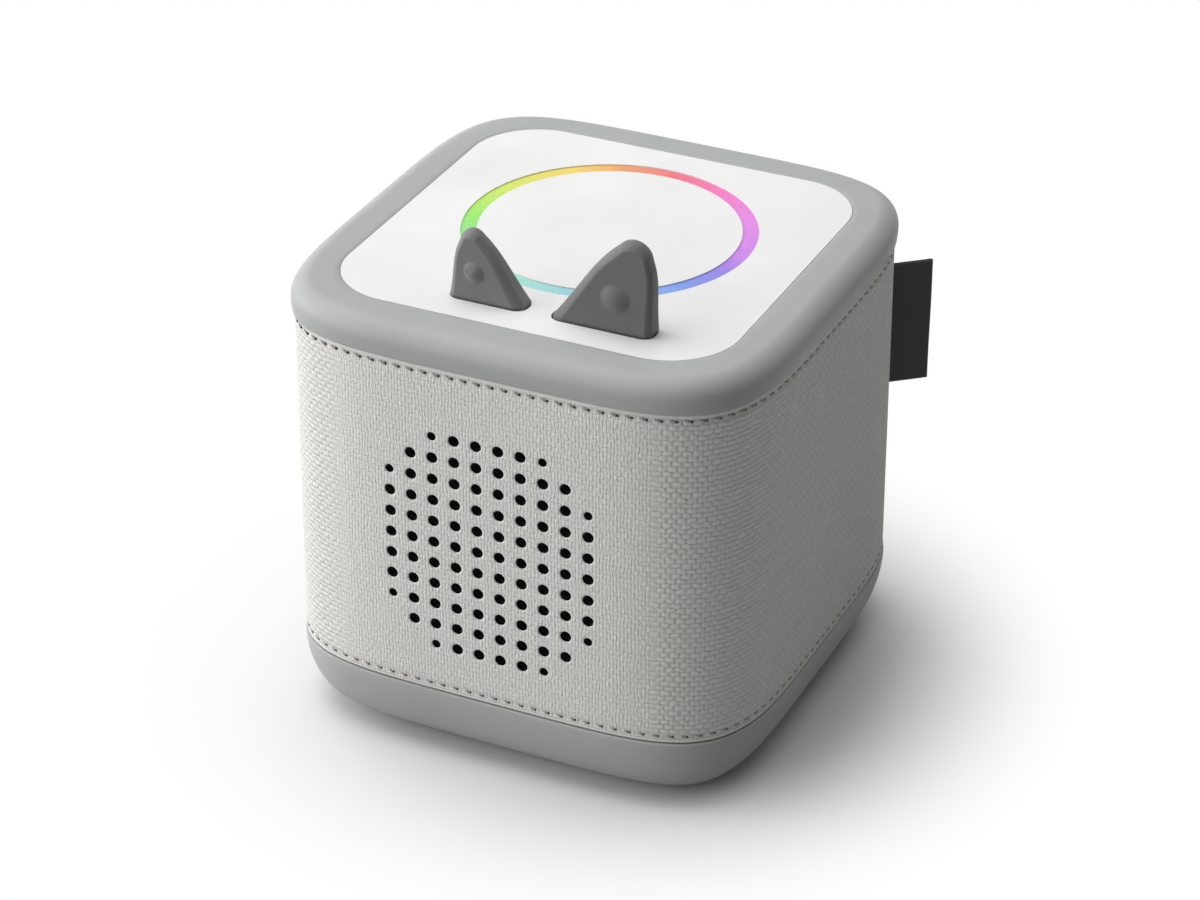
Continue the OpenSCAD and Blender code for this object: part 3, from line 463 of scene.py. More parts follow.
z_grid = np.broadcast_to(levels[:, None], (len(levels), columns))
half_grid, power_grid = cover_plan(z_grid)
front_x = np.broadcast_to(block_x, (len(levels), len(block_x)))
n_front = len(block_x)
front_y = front_of(front_x, half_grid[:, :n_front], power_grid[:, :n_front])
round_x, round_y, _, _ = superellipse(half_grid[:, n_front:], power_grid[:, n_front:], round_turns)
cover_x = np.concatenate([front_x, round_x], 1)
cover_y = np.concatenate([front_y, round_y], 1)
mid_row = first_block_row + len(block_z) // 2
mid_x, mid_y = cover_x[mid_row], cover_y[mid_row]
step_s = np.hypot(np.diff(mid_x, append=mid_x[:1]), np.diff(mid_y, append=mid_y[:1]))
run_s = np.concatenate([[0], np.cumsum(step_s)])
COVER_ROUND = run_s[-1]
s_grid = np.broadcast_to(run_s[:-1], z_grid.shape)
STITCH_PITCH = COVER_ROUND / STITCHES
tag_low, tag_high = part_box("fabric_tag")
seam_turn = math.atan2(tag_low.y, tag_low.x + 0.2 * MM)
seam_column = n_front + int(np.argmin(np.abs(round_turns - seam_turn)))
seam_s = run_s[seam_column]

normal_x, normal_y = outline_normal(cover_x, cover_y, half_grid, power_grid)
inset = cover_inset(z_grid, s_grid)
cover_points = np.stack([cover_x - normal_x * inset, cover_y - normal_y * inset, z_grid], -1).reshape(-1, 3)
cover_uv = np.stack([s_grid / COVER_ROUND, (z_grid - cover_low.z) / cover_height], -1).reshape(-1, 2)

# Which cells of the block hold a hole, and how big it is.
cell_a = np.broadcast_to(np.arange(HOLE_COLUMNS)[:, None] - FIELD[0], (HOLE_COLUMNS, HOLE_ROWS))
cell_b = np.broadcast_to(np.arange(HOLE_ROWS)[None, :] - FIELD[1], (HOLE_COLUMNS, HOLE_ROWS))
past_a = np.maximum(0, np.abs(cell_a) - (FIELD[0] - FIELD_ROUND))
past_b = np.maximum(0, np.abs(cell_b) - (FIELD[1] - FIELD_ROUND))
field = np.hypot(past_a, past_b)
holed = field < FIELD_ROUND + FIELD_EDGE[1]
hole_a, hole_b = cell_a[holed], cell_b[holed]
hole_r = np.where(field[holed] > FIELD_ROUND + FIELD_EDGE[0], EDGE_HOLE_R, HOLE_R)

# The cover's plain faces: the whole grid without the cells that hold a hole.
faces = grid_faces(len(levels), columns)
face_row, face_column = np.divmod(np.arange(len(faces)), columns)
in_row = (face_row - first_block_row) // CELL
in_column = face_column // CELL
in_block = (in_row >= 0) & (in_row < HOLE_ROWS) & (face_column < n_front - 1)
in_hole = np.zeros(len(faces), bool)
in_hole[in_block] = holed[in_column[in_block], in_row[in_block]]
faces = faces[~in_hole]

# Round each hole: rings from the cell's square edge in to the circle, whose last rings turn inwards.
side = np.arange(CELL)
edge_c = np.concatenate([side, np.full(CELL, CELL), CELL - side, np.zeros(CELL, int)])
edge_r = np.concatenate([np.zeros(CELL, int), side, np.full(CELL, CELL), CELL - side])
start_c = ((hole_a + FIELD[0]) * CELL).astype(int)[:, None]
start_r = ((hole_b + FIELD[1]) * CELL).astype(int)[:, None] + first_block_row
rim_index = (start_r + edge_r) * columns + start_c + edge_c
around = np.arctan2(edge_r - CELL / 2, edge_c - CELL / 2)
centre_x, centre_z = hole_a * HOLE_PITCH, HOLES_Z + hole_b * HOLE_PITCH
square_x = centre_x[:, None] + (edge_c - CELL / 2) * HOLE_PITCH / CELL
square_z = centre_z[:, None] + (edge_r - CELL / 2) * HOLE_PITCH / CELL
ring_out = np.array([1.0, 0.45, 0.12, 0.0, 0.0])[:, None, None]
ring_grow = np.array([0.0, 0.0, 0.0, 0.10, 0.0])[:, None, None] * MM
ring_drop = np.array([0.0, 0.0, 0.0, 0.05, 0.22])[:, None, None] * MM
ring_r = hole_r[:, None] + HOLE_FLAT * (ring_out > 0) + ring_grow
ring_x = centre_x[:, None] + ring_r * np.cos(around)
ring_z = centre_z[:, None] + ring_r * np.sin(around)
ring_x = ring_x + (square_x - ring_x) * ring_out
ring_z = ring_z + (square_z - ring_z) * ring_out
ring_x, ring_z, ring_drop = (a[1:] for a in np.broadcast_arrays(ring_x, ring_z, ring_drop))
ring_half, ring_power = cover_plan(ring_z)
ring_y = front_of(ring_x, ring_half, ring_power)
ring_nx, ring_ny = outline_normal(ring_x, ring_y, ring_half, ring_power)
ring_points = np.stack([ring_x - ring_nx * ring_drop, ring_y - ring_ny * ring_drop, ring_z], -1)
ring_s = np.interp(ring_x, block_x, run_s[:n_front])
ring_uv = np.stack([ring_s / COVER_ROUND, (ring_z - cover_low.z) / cover_height], -1)
new_index = len(cover_points) + np.arange(ring_x.size).reshape(ring_x.shape)
loops = np.concatenate([rim_index[None], new_index])
following = np.roll(loops, -1, axis=2)
hole_faces = np.stack([loops[:-1], following[:-1], following[1:], loops[1:]], -1).reshape(-1, 4)

all_points = np.concatenate([cover_points, ring_points.reshape(-1, 3)])
all_faces = np.concatenate([faces, hole_faces])
all_uv = np.concatenate([cover_uv, ring_uv.reshape(-1, 2)])
cover = piece_from("cloth_cover", all_points, all_faces)
corner_uv = all_uv[all_faces]
corner_u = corner_uv[:, :, 0]
wraps = np.ptp(corner_u, axis=1) > 0.5
corner_u[wraps] += corner_u[wraps] < 0.5
cover.data.uv_layers.new(name="cloth").data.foreach_set("uv", corner_uv.reshape(-1))

WARP = 510
WEFT = 66
FRONT_U = 27.75 * MM / COVER_ROUND


def woven(
    name, colour, warp, weft, depth, roughness=0.92, hem=0.0, lean=0.0, floats=None, fibres=0.3, **sockets
):
    """Plain weave on the piece's own UV, warp and weft threads in all.

    Each thread is a rounded ridge that rises and dips as a held cosine along its run, over and under in
    turn, and the surface is the higher of the two. Threads waver, differ a little in tone, and are fibrous.
    The colour is darker where the weave is low: painted shade in the pits between the threads.
    lean lifts the upright threads. floats is the length, in threads, of the level floats that alone show on
    the corners and sides. hem is the share of the height at each edge where the fold is smooth and takes
    the palest colour, without the painted shade."""
    mat = finish(name, colour, roughness, **sockets)
    uv = add_node(mat, "UVMap", uv_map="cloth").outputs[0]
    split = add_node(mat, "SeparateXYZ", uv).outputs
    waver = spread(mat, grain(mat, 330.0, 2.0), 0.25, 0.75, -0.35, 0.35)
    sway = spread(mat, grain(mat, 410.0, 2.0), 0.25, 0.75, -0.2, 0.2)
    across = sums(mat, "MULTIPLY_ADD", split[0], float(warp), waver)
    along = sums(mat, "MULTIPLY_ADD", split[1], float(weft), sway)
    column, row = sums(mat, "FLOOR", across), sums(mat, "FLOOR", along)

    def thread_height(over, run, own, rise, dip, top, groove, power):
        """The height of one set of threads. over counts them, run counts along them, and own is a thread's
        number. It goes smoothly from rise - 0.5 to rise + 0.5 as cos(pi (run - 0.5 - own)) goes from dip to
        top, less groove |2 fract(over) - 1|^power towards the thread's sides."""
        turned = sums(mat, "MULTIPLY", sums(mat, "SUBTRACT", sums(mat, "SUBTRACT", run, 0.5), own), math.pi)
        wave = spread(
            mat, sums(mat, "COSINE", turned), dip, top, rise - 0.5, rise + 0.5,
            interpolation_type="SMOOTHSTEP"
        )
        middle = sums(mat, "ABSOLUTE", sums(mat, "MULTIPLY_ADD", sums(mat, "FRACT", over), 2.0, -1.0))
        return sums(mat, "SUBTRACT", wave, sums(mat, "MULTIPLY", sums(mat, "POWER", middle, power), groove))

    upright = thread_height(across, along, column, 0.5 + lean, -0.9, 0.5, 0.65, 2.2)
    level = thread_height(along, across, sums(mat, "ADD", row, 1.0), 0.5 - lean, -0.9, 0.5, 0.65, 2.2)
    height = sums(mat, "MAXIMUM", upright, level)
    which = sums(mat, "GREATER_THAN", upright, level)
    if floats:
        half_turn = sums(mat, "FRACT", sums(mat, "MULTIPLY_ADD", split[0], 2.0, 0.5 - 2 * FRONT_U))
        from_front = sums(mat, "ABSOLUTE", sums(mat, "SUBTRACT", half_turn, 0.5))
        corner = spread(mat, from_front, 0.17, 0.21)
        slow = sums(mat, "MULTIPLY", across, 2 / floats)
        long_floats = thread_height(along, slow, row, 0.5, -1.35, 0.3, 1.3, 1.6)
        height = add_node(mat, "Mix", corner, None, height, long_floats).outputs[0]
        which = sums(mat, "MULTIPLY", which, sums(mat, "SUBTRACT", 1.0, corner))
    cell = add_node(mat, "CombineXYZ", column, row, 0.0).outputs[0]
    tone = add_node(mat, "TexWhiteNoise", cell).outputs[0]
    fibre = add_node(
        mat, "Mix", which, None, grain(mat, 2100.0, 3.0, stretch=(0.35, 0.35, 1)),
        grain(mat, 2100.0, 3.0, stretch=(1, 1, 0.35))
    ).outputs[0]
    relief = sums(mat, "MULTIPLY_ADD", fibre, fibres, sums(mat, "MULTIPLY_ADD", tone, 0.2, height))
    # Painted shade: the colour darkens where the weave is low, in the pits between threads, on top of each
    # thread's own tone.
    shade = spread(mat, sums(mat, "MULTIPLY_ADD", tone, 0.3, height), -0.2, 1.1, 0.0, 1.0)
    if hem:
        middle = sums(mat, "ABSOLUTE", sums(mat, "SUBTRACT", split[1], 0.5))
        fold = spread(mat, middle, 0.5 - hem, 0.5 - hem * 0.85)
        # The fold takes the palest colour, without the painted shade of the pits.
        shade = sums(mat, "MAXIMUM", shade, sums(mat, "MULTIPLY", fold, 1.15))
        relief = sums(mat, "MULTIPLY", relief, spread(mat, fold, 0, 1, 1.0, 0.25))
    dark = tuple(c * 0.93 for c in colour)
    light = tuple(min(1, c * 1.03) for c in colour)
    into(mat, "Base Color", tinted(mat, shade, dark, light))
    into(mat, "Normal", raised(mat, relief, depth))
    return mat


def thickened(piece, name, thickness, offset=0):
    """Gives a sheet its thickness: inwards where offset is -1, and half to each side where it is 0."""
    wall = piece.modifiers.new(name, "SOLIDIFY")
    wall.thickness = thickness
    wall.offset = offset
    return wall


cover_cloth = woven(
    "cover_cloth", (0.645, 0.636, 0.608), WARP, WEFT, 0.18 * MM, hem=0.014, lean=0.08, floats=2.7,
    fibres=1.1, Specular_IOR_Level=0.2
)
backing = finish("black_backing", (0.012, 0.012, 0.013), 0.95)
into(backing, "Normal", raised(backing, grain(backing, 1800.0), 0.08 * MM))
cover.data.materials.append(cover_cloth)
cover.data.materials.append(backing)
wall = thickened(cover, "cloth_thickness", CLOTH_T, -1)
wall.material_offset = 1
wall.material_offset_rim = 1
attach(cover, "player")
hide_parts("fabric_cover")


# ---- Stitches ----
# Two rows of saddle stitches in grey thread hold the folded edges of the cloth down.

def stitch_row(name, level, length, radius, lift, slant):
    """Short threads in a row: a tube along each, arched out of the cloth, whose ends dip into it."""
    half, power = cover_plan(level)
    steps, sides = 9, 6
    at = even_turns(half, power, edge_turn, edge_turn + 2 * math.pi, STITCHES + 1)[:-1]
    x, y, nx, ny = superellipse(half, power, at)
    t = np.linspace(-1, 1, steps)[None, :, None]
    a = (np.arange(sides) * 2 * math.pi / sides)[None, None, :]
    wide = radius * (1 - t ** 6) ** 0.5 + 0.02 * MM
    out = lift * (1 - t ** 2) - cover_inset(level, seam_s + STITCH_PITCH * 9.5) - 0.12 * MM + wide * np.cos(a)
    run = t * length / 2 + 0 * a
    rise = slant * t * length / 2 + wide * np.sin(a)
    nx, ny, x, y = (v[:, None, None] for v in (nx, ny, x, y))
    points = np.stack([x + nx * out - ny * run, y + ny * out + nx * run, level + rise + 0 * nx], -1)
    tube = grid_faces(steps, sides)
    faces = (tube[None] + (np.arange(STITCHES) * steps * sides)[:, None, None]).reshape(-1, 4)
    made = piece_from(name, points, faces)
    along = np.tile(np.repeat(np.linspace(0, 1, steps), sides), STITCHES)
    about = np.tile(np.arange(sides) / sides, steps * STITCHES)
    uv = np.stack([along, about], -1)[faces]
    uv[:, :, 1] += uv[:, :, 1].max(1, keepdims=True) - uv[:, :, 1] > 0.5
    made.data.uv_layers.new(name="thread").data.foreach_set("uv", uv.reshape(-1))
    return made


thread = finish("grey_thread", (0.3, 0.3, 0.29), 0.8)
split = add_node(thread, "SeparateXYZ", add_node(thread, "UVMap", uv_map="thread").outputs[0]).outputs
winding = sums(thread, "MULTIPLY_ADD", split[0], 3.0, sums(thread, "MULTIPLY", split[1], 2.0))
ply_wave = sums(thread, "COSINE", sums(thread, "MULTIPLY", winding, 2 * math.pi))
twist = sums(thread, "MULTIPLY_ADD", ply_wave, 0.5, 0.5)
# Painted shade: the thread darkens in the grooves between its plies, where the twist's relief is low.
ply_groove_shade = tinted(thread, twist, (0.17, 0.17, 0.165), (0.42, 0.41, 0.39))
# Painted shadow: each stitch darkens towards its right end, where it dips into its needle hole.
needle_hole_shadow = spread(thread, split[0], 0.58, 0.82)
into(thread, "Base Color", tinted(thread, needle_hole_shadow, ply_groove_shade, (0.035, 0.035, 0.035)))
into(thread, "Normal", raised(thread, twist, 0.06 * MM))
upper_stitches = stitch_row(
    "upper_stitches", cover_high.z - STITCH_TOP, length=2.3 * MM, radius=0.38 * MM, lift=0.28 * MM,
    slant=-0.22
)
lower_stitches = stitch_row(
    "lower_stitches", cover_low.z + STITCH_LOW, length=2.0 * MM, radius=0.33 * MM, lift=0.25 * MM,
    slant=-0.18
)
for row in (upper_stitches, lower_stitches):
    row.data.materials.append(thread)
    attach(row, "player")


# ---- Side label ----
# A woven tape folded double and caught in the rear seam, with nothing on it.

TAG_HEIGHT = tag_high.z - tag_low.z
LABEL_GAP = 0.30 * MM
LABEL_THICK = 0.35 * MM
LABEL_WAVE = 0.10 * MM
LABEL_OPEN = 0.25
LABEL_STEPS = 26
LABEL_TURN = math.radians(40)
label_way = np.array([math.cos(LABEL_TURN), math.sin(LABEL_TURN)])
label_side = np.array([-label_way[1], label_way[0]])
LABEL_LENGTH = 11.1 * MM
tag_mid = np.array(tag_low + tag_high)[:2] / 2
label_root = tag_mid - label_way * LABEL_LENGTH / 2

fold_r = LABEL_GAP / 2 + LABEL_THICK / 2
out_run = np.linspace(-0.6 * MM, LABEL_LENGTH - fold_r - LABEL_THICK / 2, LABEL_STEPS)
fold_a = np.linspace(-math.pi / 2, math.pi / 2, 11)[1:-1]
line_x = np.concatenate([out_run, out_run[-1] + fold_r * np.cos(fold_a), out_run[::-1]])
line_y = np.concatenate([
    np.full(LABEL_STEPS, -fold_r), fold_r * np.sin(fold_a), np.full(LABEL_STEPS, fold_r)
])
label_rows = 40
up = np.linspace(0, 1, label_rows)[:, None]
wave = LABEL_WAVE * np.sin(up * 7.0) * (line_x / LABEL_LENGTH) ** 2
side_off = line_y * (1 + LABEL_OPEN * np.sin(up * math.pi) * (line_x / LABEL_LENGTH)) + wave
label_z = tag_low.z + up * TAG_HEIGHT + 0 * line_x
label_plan = label_root + label_way * line_x[:, None] + label_side * side_off[:, :, None]
label_points = np.concatenate([label_plan, label_z[:, :, None]], -1)
label_faces = grid_faces(label_rows, len(line_x), wrap_columns=False)[:, ::-1]
label = piece_from("side_label", label_points, label_faces)
line_s = np.concatenate([[0], np.cumsum(np.hypot(np.diff(line_x), np.diff(line_y)))])
label_uv = np.stack(np.broadcast_arrays(line_s / line_s[-1], up), -1).reshape(-1, 2)
label.data.uv_layers.new(name="cloth").data.foreach_set("uv", label_uv[label_faces].reshape(-1))
label_cloth = woven(
    "label_cloth", (0.028, 0.027, 0.026), warp=60, weft=110, depth=0.03 * MM, roughness=0.85,
    Sheen_Weight=0.08
)
label.data.materials.append(label_cloth)
thickened(label, "label_thickness", LABEL_THICK)
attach(label, "player")
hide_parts("fabric_tag")


# ---- Foam padding and cloth behind the holes ----
# Open-cell foam between housing and cover makes the sides soft. It is punched like the cover, and
# behind it a fine black cloth keeps dust out of the loudspeaker.

def merged_copy(node, name, width=0.0, segments=2, angle=30):
    """A copy of a CAD node's mesh with its loose triangles merged, and its edges rounded by a bevel."""
    work = bmesh.new()
    work.from_mesh(frame["nodes"][node].data)
    bmesh.ops.remove_doubles(work, verts=work.verts, dist=0.002 * MM)
    mesh = bpy.data.meshes.new(name)
    work.to_mesh(mesh)
    work.free()
    mesh.shade_smooth()
    made = placed(name, mesh)
    if width:
        bevel = made.modifiers.new("soft_edges", "BEVEL")
        bevel.width = width
        bevel.segments = segments
        bevel.limit_method = "ANGLE"
        bevel.angle_limit = math.radians(angle)
    level = made.modifiers.new("flat_faces", "WEIGHTED_NORMAL")
    level.mode = "FACE_AREA"
    level.weight = 100
    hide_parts(node)
    return made


def cellular(name, colour, roughness, scale, depth):
    """A dull material pitted with small cells, scale of them to the metre."""
    mat = finish(name, colour, roughness)
    cells = add_node(mat, "TexVoronoi", add_node(mat, "TexCoord").outputs["Object"], None, scale)
    into(mat, "Normal", raised(mat, cells.outputs["Distance"], depth))
    return mat


padding = merged_copy("foam_liner", "foam_padding")
foam_black = cellular("black_foam", (0.02, 0.02, 0.021), 0.97, 1400.0, 0.3 * MM)
padding.data.materials.append(foam_black)
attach(padding, "player")

dust_cloth = merged_copy("acoustic_cloth", "dust_cloth")
mesh_black = cellular("fine_black_cloth", (0.008, 0.008, 0.009), 0.9, 3000.0, 0.1 * MM)
dust_cloth.data.materials.append(mesh_black)
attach(dust_cloth, "player")


# ---- Top rim ----
# The upper shell is a grey frame moulded in one: a rounded outer edge, a flat band, and an inner
# frame that the plate drops into. Its bosses are screwed to the deck from below.

def rounded_square(half, corner, turns):
    """The outline of a square with round corners about (corner, corner), at polar angles turns."""
    c, s = np.abs(np.cos(turns)), np.abs(np.sin(turns))
    flat = half / np.maximum(c, s)
    toward = (c + s) * corner
    radius = half - corner
    inside = np.maximum(toward ** 2 - (2 * corner ** 2 - radius ** 2), 0)
    bent = toward + np.sqrt(inside)
    reach = np.where(np.minimum(c, s) * flat > corner, bent, flat)
    return reach * np.cos(turns), reach * np.sin(turns)


rim_low, rim_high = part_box("top_rim")
plate_low, plate_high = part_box("top_plate")
CORNER_C = 32.0 * MM
RIM_SHOULDER = (5.0 * MM, 4.7 * MM)
RIM_WIDE_Z = rim_high.z - RIM_SHOULDER[1]
RIM_FOOT_Z = rim_low.z - 0.12 * MM
RIM_WALL = 2.0 * MM
FRAME_GAP = 0.1 * MM
RIM_LIP = 0.12 * MM
RIM_UNDER = 62
RIM_TUCK = 0.5 * MM
RIM_FOOT_IN = 2.6 * MM
RIM_CAVITY = (1.6 * MM, 2.4 * MM)
rim_z = rim_high.z
frame_x, frame_y = rounded_square(plate_high.x + FRAME_GAP, CORNER_C, turns)
under_rise = (RIM_WIDE_Z - RIM_FOOT_Z) / math.sin(math.radians(RIM_UNDER))
rim_under = quarter(-RIM_UNDER, 0, 9, RIM_TUCK, under_rise, RIM_TUCK, RIM_WIDE_Z)[:-1]
rim_foot = np.concatenate([[[RIM_FOOT_IN, RIM_FOOT_Z], [0.8 * RIM_TUCK, RIM_FOOT_Z]], rim_under])
rim_curve = quarter(0, 90, 24, *RIM_SHOULDER, RIM_SHOULDER[0], rim_z - RIM_SHOULDER[1])
rim_outer = swept(trim_outline, np.concatenate([rim_foot, rim_curve]))
share = np.array([0.25, 0.5, 0.75, 1.0])[:, None]
band_end = rim_outer[-1]
frame_ring = np.stack([frame_x, frame_y], -1)
outward_way = frame_ring / np.hypot(frame_x, frame_y)[:, None]
grown = frame_ring + RIM_LIP * outward_way
band_plan = band_end[None, :, :2] + (grown - band_end[:, :2])[None] * share[:, :, None]
band = np.concatenate([band_plan, np.full((len(share), AROUND, 1), rim_z)], -1)
inner_profile = np.array([
    [0.035 * MM, -0.035 * MM], [0.0, -RIM_LIP], [0.0, rim_low.z - rim_z], [RIM_WALL, rim_low.z - rim_z],
    [RIM_WALL, plate_low.z - rim_z]
])
inner_side = np.concatenate([
    frame_ring[None] + outward_way[None] * inner_profile[:, :1, None],
    np.broadcast_to(rim_z + inner_profile[:, 1:, None], (len(inner_profile), AROUND, 1))
], -1)
rim_cavity = swept(trim_outline, np.array([
    [RIM_SHOULDER[0] + RIM_CAVITY[0], plate_low.z], [RIM_FOOT_IN, rim_low.z + RIM_CAVITY[1]]
]))
rim_points = np.concatenate([rim_outer, band, inner_side, rim_cavity])
rim_faces = grid_faces(len(rim_points), AROUND, wrap_rows=True)
rim = piece_from("upper_rim", rim_points, rim_faces, outward=True)
rim_plastic = moulded("rim_satin_plastic", (0.362, 0.367, 0.367), 0.38, Specular_IOR_Level=0.06)
rim.data.materials.append(rim_plastic)
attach(rim, "player")
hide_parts("top_rim")


# ---- Top plate ----
# A white satin plate, dropped into the frame, with a groove for the ring and a slot for each ear.

plate = merged_copy("top_plate", "white_plate", 0.12 * MM, 2, 50)
plate_white = moulded(
    "white_satin_plastic", (0.715, 0.715, 0.71), 0.36, 3200.0, 0.006 * MM, Specular_IOR_Level=0.3
)
plate.data.materials.append(plate_white)
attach(plate, "player")


# ---- Light ring ----
# A milky ring let into the plate. Lamps below it show all the colours round the circle.

ring_low, ring_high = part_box("light_ring")
RING_Y = (ring_low.y + ring_high.y) / 2
RING_OUT = (ring_high.x - ring_low.x) / 2 + 0.12 * MM
RING_IN = 31.08 * MM
RING_EDGE = 0.03 * MM
RING_CROWN = 0.02 * MM
RING_TOP = plate_high.z - 0.35 * MM
ring_profile = np.array([
    [RING_IN, ring_low.z], [RING_OUT, ring_low.z], [RING_OUT, RING_TOP - RING_EDGE],
    [RING_OUT - RING_EDGE * 0.3, RING_TOP - RING_EDGE * 0.3], [RING_OUT - RING_EDGE, RING_TOP],
    [(RING_OUT + RING_IN) / 2, RING_TOP + RING_CROWN],
    [RING_IN + RING_EDGE, RING_TOP], [RING_IN + RING_EDGE * 0.3, RING_TOP - RING_EDGE * 0.3],
    [RING_IN, RING_TOP - RING_EDGE], [RING_IN, ring_low.z]
])
light_ring = lathe("lit_ring", ring_profile, (0, RING_Y, 0), 256, outward=True)

# Hues by their place round the ring, in turns from the right-hand side, anticlockwise from above.
HUES = [
    (0.00, (0.62, 0.27, 0.86)), (0.09, (0.80, 0.29, 0.83)), (0.17, (0.92, 0.23, 0.58)),
    (0.24, (0.90, 0.20, 0.25)), (0.30, (0.87, 0.37, 0.16)), (0.36, (0.93, 0.70, 0.17)),
    (0.44, (0.73, 0.82, 0.17)), (0.53, (0.36, 0.86, 0.17)), (0.62, (0.30, 0.78, 0.45)),
    (0.73, (0.40, 0.76, 0.72)), (0.83, (0.32, 0.58, 0.86)), (0.90, (0.23, 0.37, 0.86)),
    (0.96, (0.33, 0.25, 0.82)), (1.00, (0.62, 0.27, 0.86)),
]
RING_SHARE = 0.44
milky = finish("milky_diffuser", (0.8, 0.8, 0.8), 0.4, Specular_IOR_Level=0.1)
there = add_node(milky, "SeparateXYZ", add_node(milky, "TexCoord").outputs["Object"]).outputs
behind = sums(milky, "SUBTRACT", there[1], RING_Y)
turn = sums(milky, "DIVIDE", sums(milky, "ARCTAN2", behind, there[0]), 2 * math.pi)
turn = sums(milky, "FRACT", sums(milky, "ADD", turn, 1.0))
wheel = add_node(milky, "ValToRGB", turn)
for stop in range(len(HUES) - 2):
    wheel.color_ramp.elements.new(0.5)
for element, (at, hue) in zip(wheel.color_ramp.elements, HUES):
    element.position = at
    element.color = (*hue, 1)
hue_out = wheel.outputs[0]
# The base colour takes the glow's hue as well: painted light of the lamps below, a little uneven through the
# milky plastic.
painted_glow_share = spread(milky, grain(milky, 900.0, 2.0), 0.3, 0.7, RING_SHARE - 0.04, RING_SHARE + 0.04)
into(milky, "Base Color", tinted(milky, painted_glow_share, (0, 0, 0), hue_out))
into(milky, "Emission Color", hue_out)
shader_of(milky).inputs["Emission Strength"].default_value = RING_SHARE
light_ring.data.materials.append(milky)
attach(light_ring, "player")
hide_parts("light_ring")


# ---- Ears ----
# Each ear is a stiff core in a matte rubber skin, upright in its slot, thinner at its tip. A round
# button under the skin makes a soft bump on the front, which gives when it is pressed.

EAR_FRONT = -41.1 * MM
EAR_T = (5.9 * MM, 3.4 * MM)
EAR_BAND = (2.6 * MM, 1.7 * MM)
EAR_BAND_POWER = 1.45
EAR_BACK = 1.0 * MM
EAR_FOOT = 2.3 * MM
EAR_ROOT = 0.25 * MM
plate_top = plate_high.z
DOME_H = 1.0 * MM
DOME_POWER = 1.2


def ear_depth(rise):
    """The ear's thickness at that share of its height."""
    return EAR_T[0] + (EAR_T[1] - EAR_T[0]) * rise


def arc_points(centre, radius, first, last, steps):
    """Points of a circle from the angle first to last, in degrees."""
    a = np.radians(np.linspace(first, last, steps))
    return np.stack([centre[0] + radius * np.cos(a), centre[1] + radius * np.sin(a)], -1)


